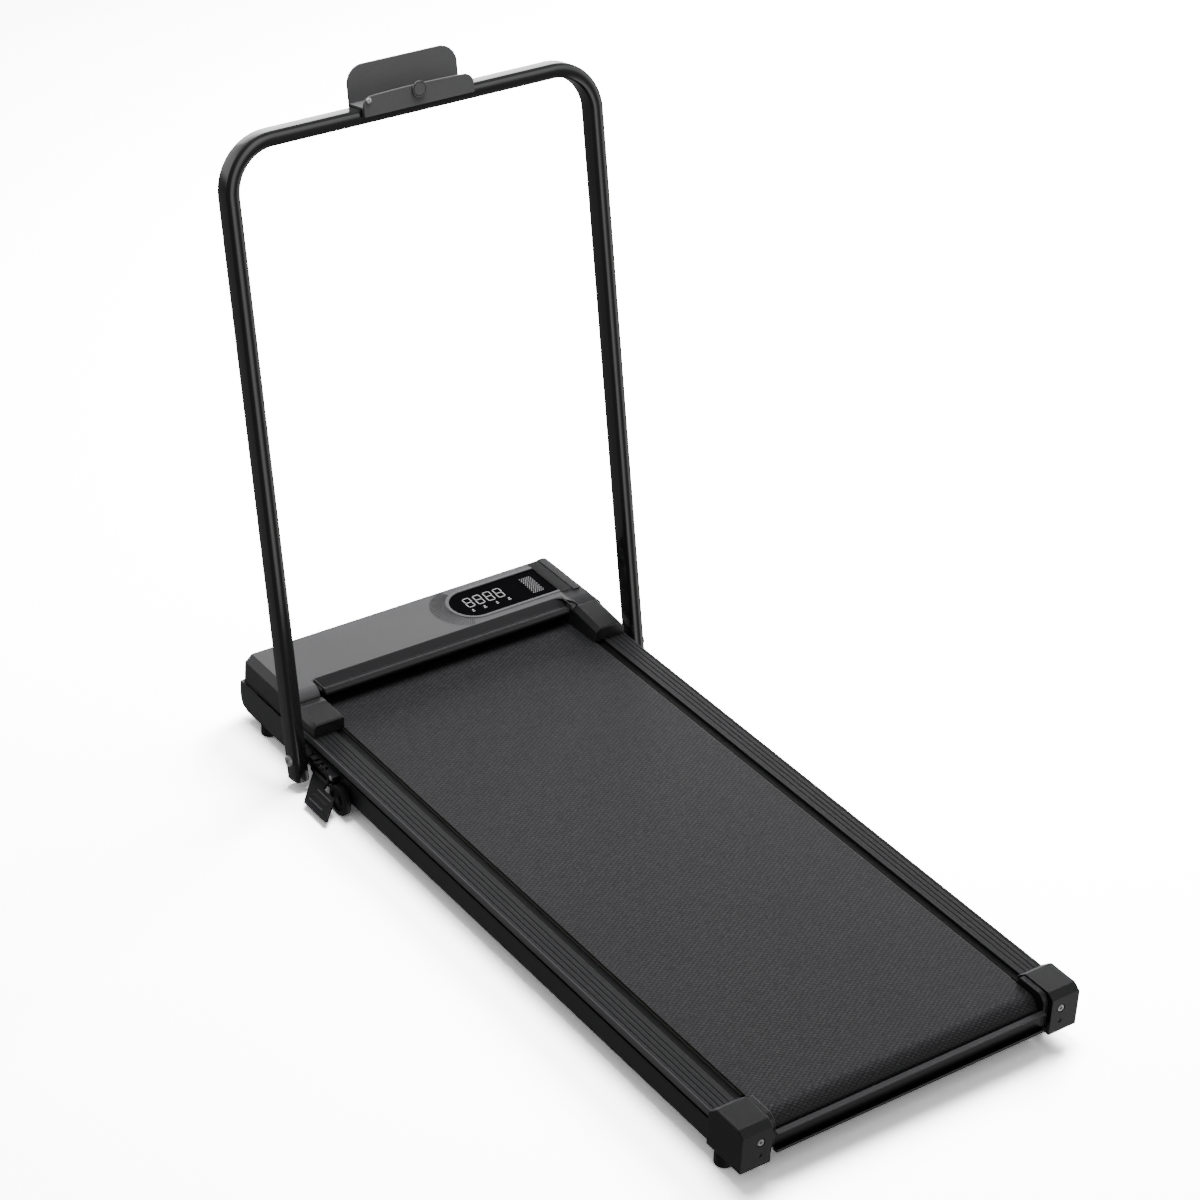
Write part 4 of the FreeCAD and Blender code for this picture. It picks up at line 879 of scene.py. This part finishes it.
# %% The lower holes and the worn ribs
def make_lower_holes():
    """Shallow dark rings: profile (r, h) turned about the X axis, on both outer faces; their
    near-black is painted shade.
    """
    parts = []
    centre = leaned_points(np.array([0.0, 0.0, -19.0 * MM]))
    for side in (-1, 1):
        profile = np.array([(0.0, 0.02), (2.4, 0.02), (2.5, 0.25), (3.1, 0.25), (3.2, 0.0)]) * MM
        face = np.array([side * 289.0 * MM, centre[1], centre[2]])
        parts.append(turned(f"hole_{side + 1}", profile, face, (side, 0, 0), 28))
    return join_meshes("handlebar_lower_holes", parts)


def make_pedal_lines(slope=36.0, y=np.array([0.2958, 0.3288])):
    """Bars along the ribs: point (u, w) of the slope is pin + u (-cos, -sin) + w (-sin, cos)."""
    low, high = [np.array(corner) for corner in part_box("pedal_pin")]
    pin_x, pin_z = (low[0] + high[0]) / 2, (low[2] + high[2]) / 2
    c, s = math.cos(math.radians(slope)), math.sin(math.radians(slope))
    parts = []
    for n, u in enumerate((16.0, 32.0)):
        across = np.array([(-0.9, 2.1), (-0.6, 2.6), (0.6, 2.6), (0.9, 2.1)]) * MM
        x = pin_x - (u * MM + across[:, 0]) * c - across[:, 1] * s
        z = pin_z - (u * MM + across[:, 0]) * s + across[:, 1] * c
        points = np.empty((2, 4, 3))
        points[..., 0] = x[None, :]
        points[..., 1] = y[:, None]
        points[..., 2] = z[None, :]
        parts.append(grid_mesh(f"pedal_line_{n}", points))
    return join_meshes("pedal_worn_ribs", parts)


lower_holes = make_lower_holes()
# Painted shade: the near-black inside stands for the depth of each hole.
lower_holes.data.materials.append(blacked_steel_and_hole_shade)
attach(lower_holes, "handlebar")
pedal_lines = make_pedal_lines()
pedal_lines.data.materials.append(bezel_plastic)
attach(pedal_lines, "pedal")
print("small pieces", lower_holes.name, pedal_lines.name)

# %% [markdown]
# ## The floor
# The machine stands on white paper that curves up far behind. Plain white paper would be mirrored
# in the dark covers and lift all their tones. This sheet shows bright, throws little light back
# and isn't mirrored, as with a lit backdrop that is kept away from the object.

# %% The floor
FLOOR_SEEN = 4.2
FLOOR_BOUNCE = 0.16


def make_floor():
    """Sheet flat to y = 5, then a quarter round: y = 5 + 4 sin t, z = 4 (1 - cos t)."""
    t = np.linspace(0.1, np.pi / 2, 10)
    y = np.concatenate([np.linspace(-9, 5, 15), 5 + 4 * np.sin(t)])
    z = np.concatenate([np.zeros(15), 4 * (1 - np.cos(t))])
    x = np.linspace(-9, 9, 7)
    points = np.empty((len(y), len(x), 3))
    points[..., 0] = x[None, :]
    points[..., 1] = y[:, None]
    points[..., 2] = z[:, None] - 0.0002
    obj = grid_mesh("studio_floor", points)
    obj.visible_glossy = False
    material, tree, shader = new_material("studio_paper")
    place = add(tree, "ShaderNodeTexCoord").outputs["Object"]
    paper = noise(tree, place, 3.0)
    seen = add(tree, "ShaderNodeLightPath").outputs["Is Camera Ray"]
    level = ranged(tree, seen, FLOOR_BOUNCE, FLOOR_SEEN)
    level = math_node(tree, "MULTIPLY", level, ranged(tree, paper, 0.99, 1.0))
    grey = {"Red": level, "Green": level, "Blue": level}
    white = add(tree, "ShaderNodeCombineColor", grey).outputs[0]
    sheet = add(tree, "ShaderNodeBsdfDiffuse", {"Color": white}).outputs[0]
    tree.nodes.remove(shader)
    tree.links.new(sheet, tree.nodes["Material Output"].inputs["Surface"])
    obj.data.materials.append(material)
    return obj


floor = make_floor()
print("floor", len(floor.data.vertices), "points")

# %% [markdown]
# ## Softboxes
# The object is dark and satin, so it is drawn by what it mirrors. Lamps alone give small hard
# highlights. Here mirrored directions see a dim room with a few softboxes, each a soft-edged patch
# of azimuth (from -Y towards +X) and elevation, as one would set them round a black object.

# %% The mirrored room
ROOM = 0.22
BACKDROP = 10.0
SOFTBOXES = [
    # azimuth, half width, elevation, half height, strength (degrees)
    (12, 9, 0, 50, 2.2),
    (54, 10, -5, 40, 1.9),
    (30, 12, 18, 12, 2.2),
    (150, 60, 6, 14, 5.0),
    (-150, 30, 10, 12, 1.5),
]
SOFT_EDGE = 6.0


def patch(tree, angle, middle, half):
    """1 inside middle +- half degrees, falling smoothly to 0 over SOFT_EDGE."""
    away = math_node(tree, "ABSOLUTE", math_node(tree, "SUBTRACT", angle, math.radians(middle)))
    inputs = {"Value": away, "From Min": math.radians(half + SOFT_EDGE),
              "From Max": math.radians(half - SOFT_EDGE)}
    return add(tree, "ShaderNodeMapRange", inputs, interpolation_type="SMOOTHSTEP").outputs[0]


def make_world(diffuse=0.30):
    """Even light for soft rays, a white backdrop for the eye, softboxes for mirrored rays."""
    world = bpy.data.worlds.new("studio_world")
    world.use_nodes = True
    tree = world.node_tree
    direction = add(tree, "ShaderNodeTexCoord").outputs["Generated"]
    split = add(tree, "ShaderNodeSeparateXYZ", {0: direction})
    behind = math_node(tree, "MULTIPLY", split.outputs[1], -1.0)
    azimuth = math_node(tree, "ARCTAN2", split.outputs[0], behind)
    elevation = math_node(tree, "ARCSINE", split.outputs[2])
    total = ROOM
    for across, half_width, height, half_height, strength in SOFTBOXES:
        box = math_node(tree, "MULTIPLY", patch(tree, azimuth, across, half_width),
                        patch(tree, elevation, height, half_height))
        total = math_node(tree, "MULTIPLY_ADD", box, strength, total)
    ray = add(tree, "ShaderNodeLightPath")
    seen = ranged(tree, ray.outputs["Is Camera Ray"], diffuse, BACKDROP)
    inputs = {"Factor": ray.outputs["Is Glossy Ray"], "A": seen, "B": total}
    choice = add(tree, "ShaderNodeMix", inputs, data_type="FLOAT")
    back_light = tree.nodes["Background"]
    back_light.inputs["Color"].default_value = (1, 1, 1, 1)
    tree.links.new(choice.outputs["Result"], back_light.inputs["Strength"])
    bpy.context.scene.world = world


make_world()
print("softboxes", len(SOFTBOXES))

# %% [markdown]
# ## Lamps
# The soft shadow on the floor comes from large lamps. A sun would draw it hard, so two area lamps
# are used: one overhead and one to the right. They light the object but aren't mirrored in it.

# %% The lamps
def lamp(name, place, target, size, power):
    """Soft rectangular lamp aimed at a point."""
    data = bpy.data.lights.new(name, "AREA")
    data.shape = "RECTANGLE"
    data.size, data.size_y = size
    data.energy = power
    obj = bpy.data.objects.new(name, data)
    obj.location = place
    obj.rotation_euler = (Vector(target) - Vector(place)).to_track_quat("-Z", "Y").to_euler()
    obj.visible_glossy = False
    bpy.context.scene.collection.objects.link(obj)
    return obj


lamp("top_lamp", (0.4, 0.7, 3.0), (0, 0.1, 0), (1.5, 1.5), 185)
lamp("right_lamp", (2.5, 1.3, 2.3), (-0.1, 0.1, 0.0), (1.7, 1.7), 380)

# %% [markdown]
# ## The camera
# The eye stands behind the walker's left, above the end of the deck. A long lens keeps the deck's
# sides nearly parallel, so the proportions read truly. The camera's three axes are written out
# because an exact direction can't be given by aiming at one point.

# %% The camera
camera_data = bpy.data.cameras.new("camera")
camera_data.lens = 102.256          # mm, a short telephoto view
camera_data.sensor_width = 36.0
camera_data.clip_end = 50.0
camera = bpy.data.objects.new("camera", camera_data)
STAND = Vector((-2.206534, -2.877830, 2.675617))
right = Vector((0.8175, -0.5744, 0.0421))
up = Vector((0.2760, 0.4549, 0.8467))
back = right.cross(up).normalized()
camera.matrix_world = Matrix.Translation(STAND) @ Matrix((
    (right.x, up.x, back.x), (right.y, up.y, back.y), (right.z, up.z, back.z))).to_4x4()
bpy.context.scene.collection.objects.link(camera)
bpy.context.scene.camera = camera
print("camera", [round(v, 3) for v in camera.location])
